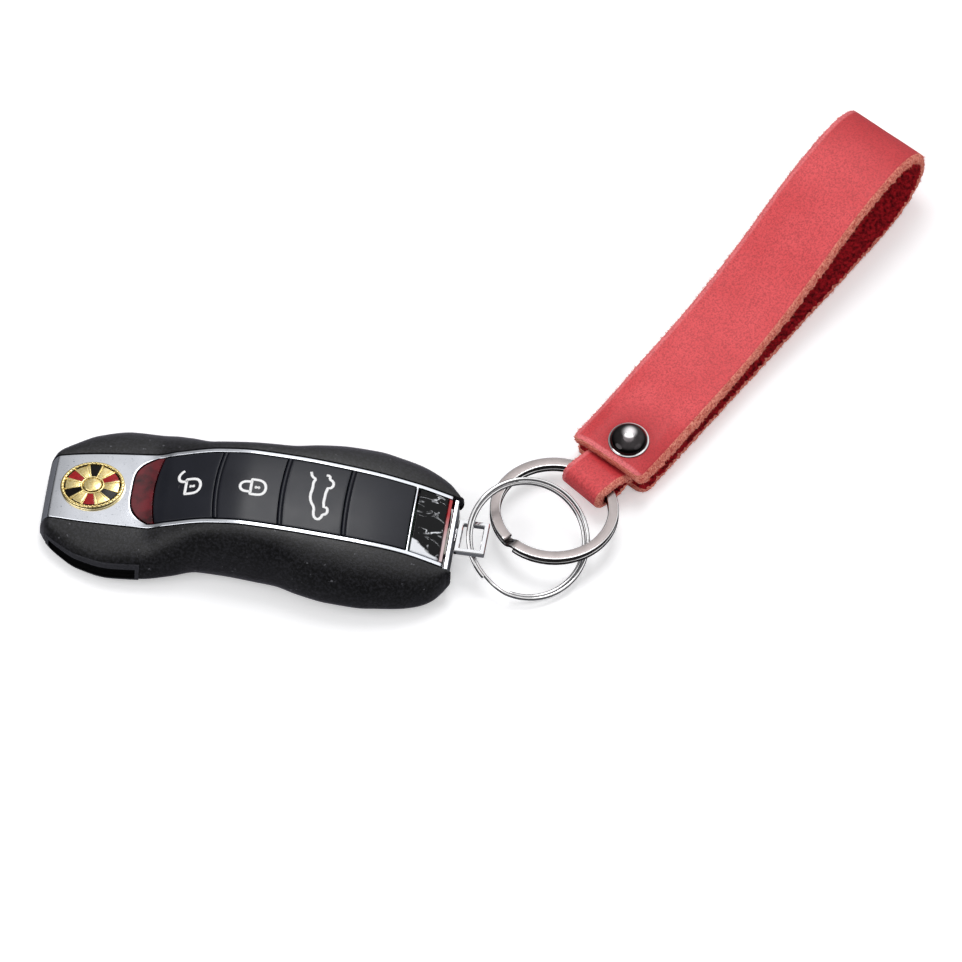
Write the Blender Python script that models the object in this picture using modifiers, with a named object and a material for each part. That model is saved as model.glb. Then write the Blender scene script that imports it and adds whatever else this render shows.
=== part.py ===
"""A car key in slide-off side covers, carried on a split ring, a flat ring and a leather strap.

Metres, +Z up. The fob lies on z = 0 with its button strip facing up. Its long axis is X, with the
badge end at -X and the emergency key, which carries the rings and the strap, at +X.
"""
import math

import bmesh
import bpy
from mathutils import Matrix, Vector

# Driving dimensions of the fob
FOB_LENGTH = 0.096
FOB_WIDTH = 0.0404
FOB_HEIGHT = 0.019
STRIP_WIDTH = 0.0208
COVER_WALL = 0.0014
TRIM_WALL = 0.0012
RAIL_WIDTH = 0.0010
BUTTON_TRAVEL = 0.0006
BUTTON_WALL = 0.0012
SEAM = 0.0003
OVERRUN = 0.004

# Driving dimensions of the rings
SPLIT_RING_RADIUS = 0.01376
SPLIT_WIRE = 0.0009
FLAT_RING_OUTSIDE = 0.0300
FLAT_WIRE_WIDTH = 0.0025
FLAT_WIRE_THICKNESS = 0.00095

# Driving dimensions of the strap
STRAP_LENGTH = 0.0995
STRAP_WIDTH = 0.0200
STRAP_LEATHER = 0.0022
LOOP_HEIGHT = 0.0220
TONGUE_WIDTH = 0.0124
TONGUE_LEATHER = 0.0020
RIVET_CAP = 0.0096

HALF_LENGTH = FOB_LENGTH / 2
HALF_WIDTH = FOB_WIDTH / 2
HALF_STRIP = STRIP_WIDTH / 2

for leftover in list(bpy.data.objects):
    bpy.data.objects.remove(leftover, do_unlink=True)
MODEL = bpy.data.collections.new("car_key_with_strap")
CUTTERS = bpy.data.collections.new("cutters")
for group in (MODEL, CUTTERS):
    bpy.context.scene.collection.children.link(group)


# Materials
def finish(name, colour, roughness, metallic=0.0):
    """A plain material from an sRGB hex colour."""
    made = bpy.data.materials.new(name)
    made.use_nodes = True
    shader = made.node_tree.nodes["Principled BSDF"]
    linear = [(int(colour[i:i + 2], 16) / 255) ** 2.2 for i in (0, 2, 4)]
    shader.inputs["Base Color"].default_value = (*linear, 1)
    shader.inputs["Roughness"].default_value = roughness
    shader.inputs["Metallic"].default_value = metallic
    return made


SOFT_BLACK = finish("soft touch black plastic", "222226", 0.55)
PAD_BLACK = finish("moulded button plastic", "1C1E26", 0.4)
GLOSS_BLACK = finish("gloss black plastic", "0C0C0E", 0.12)
INNER_GREY = finish("glass filled nylon", "3A3B3E", 0.6)
PLATED = finish("chromed plastic", "D6D8DA", 0.12, 1.0)
CHROME = finish("chromed zinc", "DADBDD", 0.1, 1.0)
NICKEL = finish("nickel plated steel wire", "C9C6C0", 0.2, 1.0)
GUNMETAL = finish("dark nickel plated steel", "B4ADA9", 0.28, 1.0)
STEEL = finish("key steel", "B9B8B2", 0.3, 1.0)
GOLD = finish("gilt metal", "D9B455", 0.25, 1.0)
ENAMEL = finish("red enamel", "9E1B22", 0.15)
RED_LENS = finish("red acrylic", "6A1620", 0.1)
BOARD_GREEN = finish("circuit board laminate", "1F5A36", 0.5)
CHIP_BLACK = finish("epoxy chip", "17181A", 0.5)
CRYSTAL_CAN = finish("crystal can", "BFC0C2", 0.25, 1.0)
FERRITE = finish("ferrite", "3B3632", 0.6)
SWITCH_GREY = finish("switch housing", "8B8D90", 0.5)
CELL_STEEL = finish("cell steel", "C4C5C7", 0.25, 1.0)
SPRING_BRASS = finish("contact bronze", "B98A4A", 0.3, 1.0)
SEAL_RUBBER = finish("seal rubber", "1B1B1B", 0.8)
LEATHER = finish("red leather", "D0484C", 0.6)
BLACK_NICKEL = finish("black nickel plated brass", "2E2B2C", 0.15, 1.0)


# Shape helpers
def new_object(name, mesh, material, group=MODEL):
    made = bpy.data.objects.new(name, mesh)
    group.objects.link(made)
    if material:
        mesh.materials.append(material)
    else:
        made.hide_render = True
        made.display_type = "WIRE"
    return made


def rounded(made, width, segments=2):
    bevel = made.modifiers.new("rounded edges", "BEVEL")
    bevel.width = width
    bevel.segments = segments
    bevel.limit_method = "ANGLE"
    return made


def shaded_smooth(made, sharp_angle=math.radians(40)):
    made.data.shade_smooth()
    made.data.set_sharp_from_angle(angle=sharp_angle)
    return made


def from_bmesh(name, working, material, centre=(0, 0, 0)):
    bmesh.ops.recalc_face_normals(working, faces=working.faces)
    mesh = bpy.data.meshes.new(name)
    working.to_mesh(mesh)
    working.free()
    made = new_object(name, mesh, material, MODEL if material else CUTTERS)
    made.location = centre
    return made


def box(name, low, high, material=None):
    """A block between two corners, with its origin at its middle."""
    low, high = Vector(low), Vector(high)
    working = bmesh.new()
    bmesh.ops.create_cube(working, size=1, matrix=Matrix.Diagonal((*(high - low), 1)))
    return from_bmesh(name, working, material, (low + high) / 2)


def disc(name, centre, radius, height, material=None, across=1.0, sides=32):
    """An upright cylinder, or an oval one whose Y size is a share of its X size."""
    working = bmesh.new()
    bmesh.ops.create_cone(working, cap_ends=True, segments=sides, radius1=radius, radius2=radius,
                          depth=height, matrix=Matrix.Diagonal((1, across, 1, 1)))
    return from_bmesh(name, working, material, centre)


def prism(name, outline, low, high, material=None):
    """A plan outline raised from one height to another."""
    working = bmesh.new()
    face = working.faces.new([working.verts.new((x, y, low)) for x, y in outline])
    raised = bmesh.ops.extrude_face_region(working, geom=[face])["geom"]
    tops = [item for item in raised if isinstance(item, bmesh.types.BMVert)]
    bmesh.ops.translate(working, verts=tops, vec=(0, 0, high - low))
    return from_bmesh(name, working, material)


def loft(name, loops, material=None, thin_ends=False):
    """A skin over closed loops of as many points. Thin ends join the first half to the second."""
    count = len(loops[0])
    working = bmesh.new()
    rows = [[working.verts.new(point) for point in loop] for loop in loops]
    for row, following in zip(rows, rows[1:]):
        for side in range(count):
            after = (side + 1) % count
            working.faces.new((row[side], row[after], following[after], following[side]))
    for row in (rows[0], rows[-1]):
        if thin_ends:
            for side in range(count // 2 - 1):
                other = count - 1 - side
                working.faces.new((row[side], row[side + 1], row[other - 1], row[other]))
        else:
            working.faces.new(row)
    return from_bmesh(name, working, material)


def sheet(name, rows, thickness, material):
    """An open surface through rows of points, thickened downwards."""
    working = bmesh.new()
    grid = [[working.verts.new(point) for point in row] for row in rows]
    for row, following in zip(grid, grid[1:]):
        for i in range(len(row) - 1):
            working.faces.new((row[i], following[i], following[i + 1], row[i + 1]))
    mesh = bpy.data.meshes.new(name)
    working.to_mesh(mesh)
    working.free()
    made = new_object(name, mesh, material)
    wall = made.modifiers.new("wall", "SOLIDIFY")
    wall.thickness = thickness
    wall.offset = -1
    return made


def boolean(made, tool, operation="DIFFERENCE"):
    step = made.modifiers.new(operation.lower(), "BOOLEAN")
    step.operation = operation
    step.object = tool
    bpy.context.view_layer.update()
    tool.parent = made
    tool.matrix_parent_inverse = made.matrix_world.inverted()
    return made


def spread(first, last, steps):
    return [first + (last - first) * i / steps for i in range(steps + 1)]


def eased(table, place):
    """A smooth curve through (place, value) pairs, without overshoot."""
    places, values = zip(*table)
    place = min(max(place, places[0]), places[-1])
    gaps = [b - a for a, b in zip(places, places[1:])]
    rises = [(b - a) / gap for a, b, gap in zip(values, values[1:], gaps)]
    slopes = [rises[0]] + [0 if a * b <= 0 else 2 * a * b / (a + b)
                           for a, b in zip(rises, rises[1:])] + [rises[-1]]
    i = max(k for k in range(len(gaps)) if place >= places[k])
    t = (place - places[i]) / gaps[i]
    return ((1 + 2 * t) * (1 - t) ** 2 * values[i] + t * (1 - t) ** 2 * gaps[i] * slopes[i]
            + t * t * (3 - 2 * t) * values[i + 1] + t * t * (t - 1) * gaps[i] * slopes[i + 1])


def curved(points, steps):
    """Points along a smooth curve through the given (along, up) points."""
    ends = [points[0], *points, points[-1]]
    found = []
    for a, b, c, d in zip(ends, ends[1:], ends[2:], ends[3:]):
        for i in range(steps):
            t = i / steps
            found.append(tuple(
                b[k] + t * (c[k] - a[k]) / 2 + t * t * (a[k] - 5 * b[k] / 2 + 2 * c[k] - d[k] / 2)
                + t ** 3 * (b[k] * 3 - c[k] * 3 + d[k] - a[k]) / 2 for k in range(2)))
    return found + [points[-1]]


# The fob's form, as shares of its half length, half widths and height
ROOF_SHARES = ((-1, 0.40), (-0.96, 0.44), (-0.78, 0.51), (-0.58, 0.57), (-0.48, 0.60),
               (-0.385, 0.72), (-0.165, 0.94), (0.01, 1), (0.21, 0.985), (0.40, 0.94),
               (0.60, 0.87), (0.79, 0.755), (0.97, 0.565), (1, 0.53))
STRIP_SHARES = ((-1, 0.80), (-0.97, 0.82), (-0.77, 0.92), (-0.58, 0.965), (-0.38, 1),
                (0.2, 1), (0.58, 0.975), (0.79, 0.95), (1, 0.95))
COVER_SHARES = ((-1, 0.43), (-0.97, 0.56), (-0.885, 0.735), (-0.79, 0.87), (-0.625, 0.96),
                (-0.46, 0.94), (-0.33, 0.87), (-0.21, 0.775), (-0.08, 0.785), (0.08, 0.82),
                (0.17, 0.84), (0.29, 0.925), (0.44, 0.99), (0.58, 1), (0.69, 0.965),
                (0.79, 0.92), (0.875, 0.845), (0.94, 0.75), (0.98, 0.64), (1, 0.57))
EQUATOR_SHARES = ((-1, 0.30), (-0.9, 0.22), (-0.5, 0.28), (-0.1, 0.32), (1, 0.32))
NOSE_ROUND = 0.0025
NOSE_FOOT = 0.0030
STRIP_CROWN = 0.0006
UNDERSIDE_SHARE = 0.35
UPPER_STEPS = 7
LOWER_STEPS = 5


def roof(x):
    """The height of the button strip's middle line, which turns down at the nose."""
    height = FOB_HEIGHT * eased(ROOF_SHARES, x / HALF_LENGTH)
    into_nose = (-HALF_LENGTH + NOSE_ROUND - x) / NOSE_ROUND
    if into_nose > 0:
        rounding = math.sqrt(max(1 - into_nose ** 2, 0))
        height = NOSE_FOOT + (height - NOSE_FOOT) * rounding
    return height


def strip_half(x):
    return HALF_STRIP * eased(STRIP_SHARES, x / HALF_LENGTH)


def cover_half(x):
    return HALF_WIDTH * eased(COVER_SHARES, x / HALF_LENGTH)


def underside_half(x):
    return strip_half(x) + UNDERSIDE_SHARE * (cover_half(x) - strip_half(x))


def strip_top(x, y):
    """The crowned top of the button strip."""
    return roof(x) - STRIP_CROWN * (y / strip_half(x)) ** 2


def cover_arc(x, inset, first=0.0, last=1.0):
    """A cover's section at a station, from the strip's edge (0) round to the underside (1)."""
    inner = strip_half(x) + SEAM / 2
    outer = cover_half(x)
    under = underside_half(x) + SEAM / 2
    equator = roof(x) * eased(EQUATOR_SHARES, x / HALF_LENGTH)
    top = strip_top(x, strip_half(x))
    limited = lambda full: max(full - inset, UNDERSIDE_SHARE * full)
    points = []
    for place in spread(first, last, UPPER_STEPS + LOWER_STEPS):
        turn = place * math.pi
        if turn <= math.pi / 2:
            y = inner + limited(outer - inner) * math.sin(turn)
            z = equator + limited(top - equator) * math.cos(turn)
        else:
            y = under + limited(outer - under) * math.sin(turn)
            z = equator + limited(equator - SEAM) * math.cos(turn)
        points.append((x, y, z))
    return points


def cover_shell(name, stations, outset, inset, side, material=None, first=0.0, last=1.0):
    """A curved wall that follows the cover's outer form. Side is 1 at +Y and -1 at -Y."""
    loops = []
    for x in stations:
        outer = cover_arc(x, -outset, first, last)
        inner = cover_arc(x, inset, first, last)
        loops.append([(px, side * py, pz) for px, py, pz in outer + inner[::-1]])
    return loft(name, loops, material, thin_ends=True)


def end_weighted(first, last, steps):
    """Stations that lie closer together towards both ends."""
    return [first + (last - first) * (1 - math.cos(math.pi * i / steps)) / 2
            for i in range(steps + 1)]


# Side covers: soft touch shells that slide off sideways
COVER_STATIONS = 30
SLOT_FROM_SHARE = -0.9479
SLOT_FROM = SLOT_FROM_SHARE * HALF_LENGTH
SLOT_TO_SHARE = -0.4958
SLOT_TO = SLOT_TO_SHARE * HALF_LENGTH
SLOT_FIRST_SHARE = 0.38
SLOT_LAST_SHARE = 0.60
SLOT_DEPTH = 0.0007
COVER_TAIL = 0.0008
cover_places = end_weighted(-HALF_LENGTH, HALF_LENGTH + COVER_TAIL, COVER_STATIONS)
cover_left = cover_shell("cover_left", cover_places, 0, COVER_WALL, 1, SOFT_BLACK)
cover_right = cover_shell("cover_right", cover_places, 0, COVER_WALL, -1, SOFT_BLACK)
boolean(cover_right, cover_shell("slot_cutter", spread(SLOT_FROM, SLOT_TO, 10), OVERRUN,
                                 SLOT_DEPTH, -1, None, SLOT_FIRST_SHARE, SLOT_LAST_SHARE))
for cover in (cover_left, cover_right):
    shaded_smooth(cover)


# Trim frame: the chromed spine round the window, the buttons and the rear cap
WINDOW_FROM_SHARE = -0.5729
WINDOW_FROM = WINDOW_FROM_SHARE * HALF_LENGTH
BUTTONS_FROM_SHARE = -0.4667
BUTTONS_FROM = BUTTONS_FROM_SHARE * HALF_LENGTH
FIRST_DIVIDER_SHARE = -0.1667
FIRST_DIVIDER = FIRST_DIVIDER_SHARE * HALF_LENGTH
SECOND_DIVIDER_SHARE = 0.1521
SECOND_DIVIDER = SECOND_DIVIDER_SHARE * HALF_LENGTH
THIRD_DIVIDER_SHARE = 0.4667
THIRD_DIVIDER = THIRD_DIVIDER_SHARE * HALF_LENGTH
BUTTONS_TO_SHARE = 0.7896
BUTTONS_TO = BUTTONS_TO_SHARE * HALF_LENGTH
CROSSBAR = 0.0005
TRIM_SETBACK = 0.0015
TRIM_END = HALF_LENGTH - TRIM_SETBACK
DIVIDER_BULGE = 0.0012
WINDOW_BULGE = 0.0048
ACROSS_STEPS = 12


def bowed(place, bulge, power=2):
    """A line across the strip that bulges towards the nose in its middle."""
    return lambda share: place + bulge * abs(share) ** power


def pad_half(x):
    """The half width inside the trim's rails."""
    return strip_half(x) - SEAM / 2 - RAIL_WIDTH - SEAM


def aperture(name, start, end):
    """A cutter through the trim, wider than what fills it by one seam."""
    shares = spread(-1, 1, ACROSS_STEPS)
    width = lambda x: pad_half(x) + SEAM
    left = [(start(q) - SEAM / 2, q * width(start(q))) for q in shares]
    middle = spread(start(1), end + SEAM / 2, ACROSS_STEPS)[1:]
    outline = left + [(x, width(x)) for x in middle] + [(x, -width(x)) for x in middle[::-1]]
    return prism(name, outline, -OVERRUN, FOB_HEIGHT + OVERRUN)


def trim_rows():
    nose = [-HALF_LENGTH + NOSE_ROUND * (1 - math.cos(turn))
            for turn in spread(0, math.pi / 2, 6)]
    shares = spread(-1, 1, ACROSS_STEPS)
    rows = []
    for x in nose + spread(nose[-1], TRIM_END, 30)[1:]:
        half = strip_half(x) - SEAM / 2
        rows.append([(x, q * half, strip_top(x, q * half)) for q in shares])
    return rows


trim_frame = sheet("trim_frame", trim_rows(), TRIM_WALL, PLATED)
boolean(trim_frame, aperture("button_aperture", bowed(WINDOW_FROM, WINDOW_BULGE, 4), BUTTONS_TO))
boolean(trim_frame, aperture("cap_aperture", bowed(BUTTONS_TO + CROSSBAR + SEAM, 0),
                             TRIM_END + OVERRUN))
shaded_smooth(trim_frame)


# Window, buttons and rear cap: curved pads that fill the trim
LENS_WALL = 0.0010
CAP_SETBACK = 0.0023
CAP_END = HALF_LENGTH - CAP_SETBACK
CAP_WALL = 0.0007
TAIL_LENS_LENGTH = 0.0006
PAD_ROWS = 8
PAD_COLUMNS = 10


def pad(name, start, end, thickness, material):
    """A pad between two lines across the strip, with a seam at each."""
    rows = []
    for along in spread(0, 1, PAD_ROWS):
        row = []
        for q in spread(-1, 1, PAD_COLUMNS):
            x = (start(q) + SEAM / 2) * (1 - along) + (end(q) - SEAM / 2) * along
            y = q * pad_half(x)
            row.append((x, y, strip_top(x, y)))
        rows.append(row)
    return shaded_smooth(sheet(name, rows, thickness, material))


button_lines = [bowed(place, DIVIDER_BULGE) for place in
                (BUTTONS_FROM, FIRST_DIVIDER, SECOND_DIVIDER, THIRD_DIVIDER)]
straight_end = bowed(BUTTONS_TO, 0)
window_lens = pad("window_lens", bowed(WINDOW_FROM, WINDOW_BULGE, 4), button_lines[0], LENS_WALL,
                  RED_LENS)
button_unlock = pad("button_unlock", button_lines[0], button_lines[1], BUTTON_WALL, PAD_BLACK)
button_lock = pad("button_lock", button_lines[1], button_lines[2], BUTTON_WALL, PAD_BLACK)
button_boot = pad("button_boot", button_lines[2], button_lines[3], BUTTON_WALL, PAD_BLACK)
pad_blank = pad("pad_blank", button_lines[3], straight_end, BUTTON_WALL, PAD_BLACK)
rear_cap = pad("rear_cap", bowed(BUTTONS_TO + CROSSBAR + 1.5 * SEAM, 0), bowed(CAP_END, 0),
               CAP_WALL, GLOSS_BLACK)
tail_lens = pad("tail_lens", bowed(CAP_END, 0), bowed(CAP_END + TAIL_LENS_LENGTH + SEAM, 0),
                LENS_WALL, RED_LENS)


# Chassis: the tub that holds the board above and the cell, chip and emergency key below
PLATE_THICKNESS = 0.0014
CHASSIS_FROM_SHARE = -0.9167
CHASSIS_FROM = CHASSIS_FROM_SHARE * HALF_LENGTH
CHASSIS_END_SETBACK = 0.0020
CHASSIS_TO = HALF_LENGTH - CHASSIS_END_SETBACK
CHASSIS_SETBACK = 0.0008
CHASSIS_CHAMFER = 0.0010
BOARD_FLOOR = 0.0073
CAVITY_FROM_SHARE = -0.5625
CAVITY_FROM = CAVITY_FROM_SHARE * HALF_LENGTH
CAVITY_HALF = 0.0078
REAR_WALL = 0.0016
CELL_DIAMETER = 0.0160
CELL_HEIGHT = 0.0032
CELL_X_SHARE = -0.4062
CELL_X = CELL_X_SHARE * HALF_LENGTH
CLIP_THICKNESS = 0.00025
BLADE_THICKNESS = 0.0020
BLADE_WIDTH = 0.0072
BLADE_FROM_SHARE = 0.0417
BLADE_FROM = BLADE_FROM_SHARE * HALF_LENGTH
BLADE_BASE = 0.0039
CHIP_X_SHARE = -0.7396
CHIP_X = CHIP_X_SHARE * HALF_LENGTH
CHIP_SIZE = (0.0090, 0.0050, 0.0024)
CATCH_X_SHARE = 0.8021
CATCH_X = CATCH_X_SHARE * HALF_LENGTH
CATCH_LENGTH = 0.0060
CATCH_WIDTH = 0.0064
CATCH_HEIGHT = 0.0022
CATCH_TRAVEL = 0.0010
CHASSIS_BASE = PLATE_THICKNESS + 2 * SEAM
CHASSIS_STATIONS = 24


def chassis_loop(x):
    half = strip_half(x) - CHASSIS_SETBACK
    top = strip_top(x, strip_half(x)) - TRIM_WALL - SEAM - BUTTON_TRAVEL
    edge = half - CHASSIS_CHAMFER
    return [(x, -half, CHASSIS_BASE + CHASSIS_CHAMFER), (x, -edge, CHASSIS_BASE),
            (x, edge, CHASSIS_BASE), (x, half, CHASSIS_BASE + CHASSIS_CHAMFER),
            (x, half, top), (x, -half, top)]


chassis = loft("chassis", [chassis_loop(x) for x in
                           spread(CHASSIS_FROM, CHASSIS_TO, CHASSIS_STATIONS)], INNER_GREY)
boolean(chassis, box("board_cavity", (CAVITY_FROM, -CAVITY_HALF, BOARD_FLOOR),
                     (CHASSIS_TO - REAR_WALL, CAVITY_HALF, FOB_HEIGHT + OVERRUN)))
cell_bay_top = CHASSIS_BASE + SEAM + CELL_HEIGHT + 2 * SEAM + CLIP_THICKNESS
boolean(chassis, disc("cell_bay", (CELL_X, 0, (cell_bay_top - OVERRUN) / 2),
                      CELL_DIAMETER / 2 + SEAM, cell_bay_top + OVERRUN, sides=40))
blade_half = BLADE_WIDTH / 2 + SEAM
boolean(chassis, box("blade_channel", (BLADE_FROM - 2 * SEAM, -blade_half, BLADE_BASE - SEAM),
                     (CHASSIS_TO + OVERRUN, blade_half, BLADE_BASE + BLADE_THICKNESS + SEAM)))
chip_half = [size / 2 + SEAM for size in CHIP_SIZE]
chip_base = CHASSIS_BASE + SEAM
boolean(chassis, box("chip_pocket", (CHIP_X - chip_half[0], -chip_half[1], -OVERRUN),
                     (CHIP_X + chip_half[0], chip_half[1], chip_base + CHIP_SIZE[2] + SEAM)))
catch_from = CATCH_X - CATCH_LENGTH / 2 - CATCH_TRAVEL - SEAM
catch_to = CATCH_X + CATCH_LENGTH / 2 + SEAM
catch_half = CATCH_WIDTH / 2 + SEAM
catch_top = SEAM + CATCH_HEIGHT
LEAF_ROOM = 0.0022
boolean(chassis, box("catch_pocket", (catch_from - LEAF_ROOM, -catch_half, -OVERRUN),
                     (catch_to, catch_half, catch_top + SEAM)))


# Pieces inside the chassis
BOARD_THICKNESS = 0.0010
BOARD_FROM_SHARE = -0.4375
BOARD_FROM = BOARD_FROM_SHARE * HALF_LENGTH
BOARD_TO_SHARE = 0.875
BOARD_TO = BOARD_TO_SHARE * HALF_LENGTH
SWITCH_SIZE = 0.0040
SWITCH_HEIGHT = 0.0015
CONTROLLER_SIZE = (0.0060, 0.0060, 0.0010)
CRYSTAL_SIZE = (0.0032, 0.0016, 0.0008)
ANTENNA_SIZE = (0.0100, 0.0030, 0.0026)
board_top = BOARD_FLOOR + SEAM + BOARD_THICKNESS
part_base = board_top + SEAM
board_half = CAVITY_HALF - SEAM
circuit_board = box("circuit_board", (BOARD_FROM, -board_half, BOARD_FLOOR + SEAM),
                    (BOARD_TO, board_half, board_top), BOARD_GREEN)
button_places = [(a + b) / 2 for a, b in
                 ((BUTTONS_FROM, FIRST_DIVIDER), (FIRST_DIVIDER, SECOND_DIVIDER),
                  (SECOND_DIVIDER, THIRD_DIVIDER))]


def board_part(name, x, y, size, material):
    """A block that sits on the board."""
    return box(name, (x - size[0] / 2, y - size[1] / 2, part_base),
               (x + size[0] / 2, y + size[1] / 2, part_base + size[2]), material)


switches = [board_part(name, x, 0, (SWITCH_SIZE, SWITCH_SIZE, SWITCH_HEIGHT), SWITCH_GREY)
            for name, x in zip(("switch_unlock", "switch_lock", "switch_boot"), button_places)]
controller_chip = board_part("controller_chip", SECOND_DIVIDER, 0, CONTROLLER_SIZE, CHIP_BLACK)
crystal = board_part("crystal", FIRST_DIVIDER, 0, CRYSTAL_SIZE, CRYSTAL_CAN)
antenna_core = board_part("antenna_core", (THIRD_DIVIDER + BUTTONS_TO) / 2, 0, ANTENNA_SIZE,
                          FERRITE)
transponder_chip = box("transponder_chip",
                       (CHIP_X - CHIP_SIZE[0] / 2, -CHIP_SIZE[1] / 2, chip_base),
                       (CHIP_X + CHIP_SIZE[0] / 2, CHIP_SIZE[1] / 2, chip_base + CHIP_SIZE[2]),
                       CHIP_BLACK)
cell_base = CHASSIS_BASE + SEAM
coin_cell = rounded(disc("coin_cell", (CELL_X, 0, cell_base + CELL_HEIGHT / 2),
                         CELL_DIAMETER / 2, CELL_HEIGHT, CELL_STEEL, sides=40), CLIP_THICKNESS)
CLIP_LENGTH = 0.0100
CLIP_WIDTH = 0.0036
clip_base = cell_base + CELL_HEIGHT + SEAM
battery_clip_minus = box("battery_clip_minus", (CELL_X - CLIP_LENGTH / 2, -CLIP_WIDTH / 2,
                                                clip_base),
                         (CELL_X + CLIP_LENGTH / 2, CLIP_WIDTH / 2, clip_base + CLIP_THICKNESS),
                         SPRING_BRASS)
plus_base = cell_base - SEAM - CLIP_THICKNESS
battery_clip_plus = box("battery_clip_plus", (CELL_X - CLIP_LENGTH / 2, -CLIP_WIDTH, plus_base),
                        (CELL_X + CLIP_LENGTH / 2, CLIP_WIDTH, plus_base + CLIP_THICKNESS),
                        SPRING_BRASS)


# Stems of the buttons, joined to their pads, that reach down to the switches
STEM_DIAMETER = 0.0030
STEM_SIDES = 16
stem_base = part_base + SWITCH_HEIGHT + SEAM + BUTTON_TRAVEL
for button, x in zip((button_unlock, button_lock, button_boot), button_places):
    stem_top = roof(x) - BUTTON_WALL / 2 - STRIP_CROWN
    stem = disc("stem of " + button.name, (x, 0, (stem_base + stem_top) / 2), STEM_DIAMETER / 2,
                stem_top - stem_base, sides=STEM_SIDES)
    boolean(button, stem, "UNION")


# Back cover: the flat panel that the fob rests on
BACK_FROM_SHARE = -0.9375
BACK_FROM = BACK_FROM_SHARE * HALF_LENGTH
BACK_SETBACK = 0.0025
BACK_TO = HALF_LENGTH - BACK_SETBACK
BACK_STATIONS = 20


def back_outline(from_x, to_x, inset):
    stations = spread(from_x, to_x, BACK_STATIONS)
    half = lambda x: underside_half(x) - SEAM / 2 - inset
    return [(x, -half(x)) for x in stations] + [(x, half(x)) for x in stations[::-1]]


back_cover = prism("back_cover", back_outline(BACK_FROM, BACK_TO, 0), 0, PLATE_THICKNESS,
                   SOFT_BLACK)
catch_window_from = catch_from - SEAM
boolean(back_cover, box("catch_window", (catch_window_from, -catch_half, -OVERRUN),
                        (catch_to, catch_half, OVERRUN)))


# Release catch and its leaf spring
release_catch = rounded(box("release_catch", (CATCH_X - CATCH_LENGTH / 2, -CATCH_WIDTH / 2, SEAM),
                            (CATCH_X + CATCH_LENGTH / 2, CATCH_WIDTH / 2, catch_top),
                            SOFT_BLACK), SEAM)
LEAF_THICKNESS = 0.0003
leaf_x = catch_from - LEAF_ROOM + SEAM
catch_spring = box("catch_spring", (leaf_x, -CATCH_WIDTH / 2, CHASSIS_BASE),
                   (leaf_x + LEAF_THICKNESS, CATCH_WIDTH / 2, catch_top), SPRING_BRASS)


# Emergency key: blade, chromed head and the lug that carries the rings
HEAD_SETBACK = 0.0012
HEAD_FROM = HALF_LENGTH - HEAD_SETBACK
HEAD_THICKNESS = 0.0011
HEAD_BASE = 0.0019
HEAD_INSET = 0.0003
BIT_DEPTH_SHARES = (0.0, 0.12, 0.28, 0.05, 0.2, 0.32, 0.1, 0.25, 0.0)
BLADE_SHOULDER_SHARE = 0.62
LUG_REACH = 0.0042
LUG_ASIDE = 0.0003
LUG_HEIGHT = 0.00891
LUG_CENTRE = Vector((HALF_LENGTH + LUG_REACH, -LUG_ASIDE, LUG_HEIGHT))
LUG_ROLL = math.radians(-8.8)
LUG_HOLE_LENGTH = 0.0048
LUG_HOLE_WIDTH = 0.0074
LUG_BAR = 0.0012
LUG_THICKNESS = 0.0014
LUG_CORNER = 0.0005
NECK_WIDTH = 0.0036


def blade_outline():
    """A key blade whose one edge is cut in steps, with a plain shank towards the head."""
    half = BLADE_WIDTH / 2
    end = HEAD_FROM - SEAM
    shoulder = BLADE_FROM + BLADE_SHOULDER_SHARE * (end - BLADE_FROM)
    places = spread(BLADE_FROM + half / 2, shoulder, len(BIT_DEPTH_SHARES) - 1)
    cut = [(x, half - depth * BLADE_WIDTH) for x, depth in zip(places, BIT_DEPTH_SHARES)]
    return [(BLADE_FROM, -half / 2), (BLADE_FROM + half / 2, -half), (end, -half), (end, half),
            (shoulder, half)] + cut[::-1][1:] + [(BLADE_FROM, half / 2)]


key_blade = prism("key_blade", blade_outline(), BLADE_BASE, BLADE_BASE + BLADE_THICKNESS, STEEL)
head_half = strip_half(HEAD_FROM) - HEAD_INSET
head_top = strip_top(HALF_LENGTH, strip_half(HALF_LENGTH)) - HEAD_INSET
key_head = rounded(box("key_head", (HEAD_FROM, -head_half, HEAD_BASE),
                       (HEAD_FROM + HEAD_THICKNESS, head_half, head_top), PLATED), HEAD_INSET)
lug_outer = (LUG_HOLE_LENGTH / 2 + LUG_BAR, LUG_HOLE_WIDTH / 2 + LUG_BAR, LUG_THICKNESS / 2)
lug = box("lug", [-side for side in lug_outer], lug_outer, CHROME)
lug.data.transform(Matrix.Rotation(LUG_ROLL, 4, "X"))
lug.location = LUG_CENTRE
lug_hole = box("lug_hole", (-LUG_HOLE_LENGTH / 2, -LUG_HOLE_WIDTH / 2, -OVERRUN),
               (LUG_HOLE_LENGTH / 2, LUG_HOLE_WIDTH / 2, OVERRUN))
lug_hole.data.transform(Matrix.Rotation(LUG_ROLL, 4, "X"))
lug_hole.location = lug.location
boolean(lug, lug_hole)
neck_from = HEAD_FROM + HEAD_THICKNESS + SEAM
neck_to = LUG_CENTRE[0] - LUG_HOLE_LENGTH / 2 - LUG_BAR / 2
neck_low = (neck_from, -NECK_WIDTH / 2, LUG_CENTRE[2] - LUG_THICKNESS)
neck_high = (neck_to, NECK_WIDTH / 2, LUG_CENTRE[2] + LUG_THICKNESS / 4)
boolean(lug, box("lug_neck", neck_low, neck_high), "UNION")
rounded(lug, LUG_CORNER / 2, 1)


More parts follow.
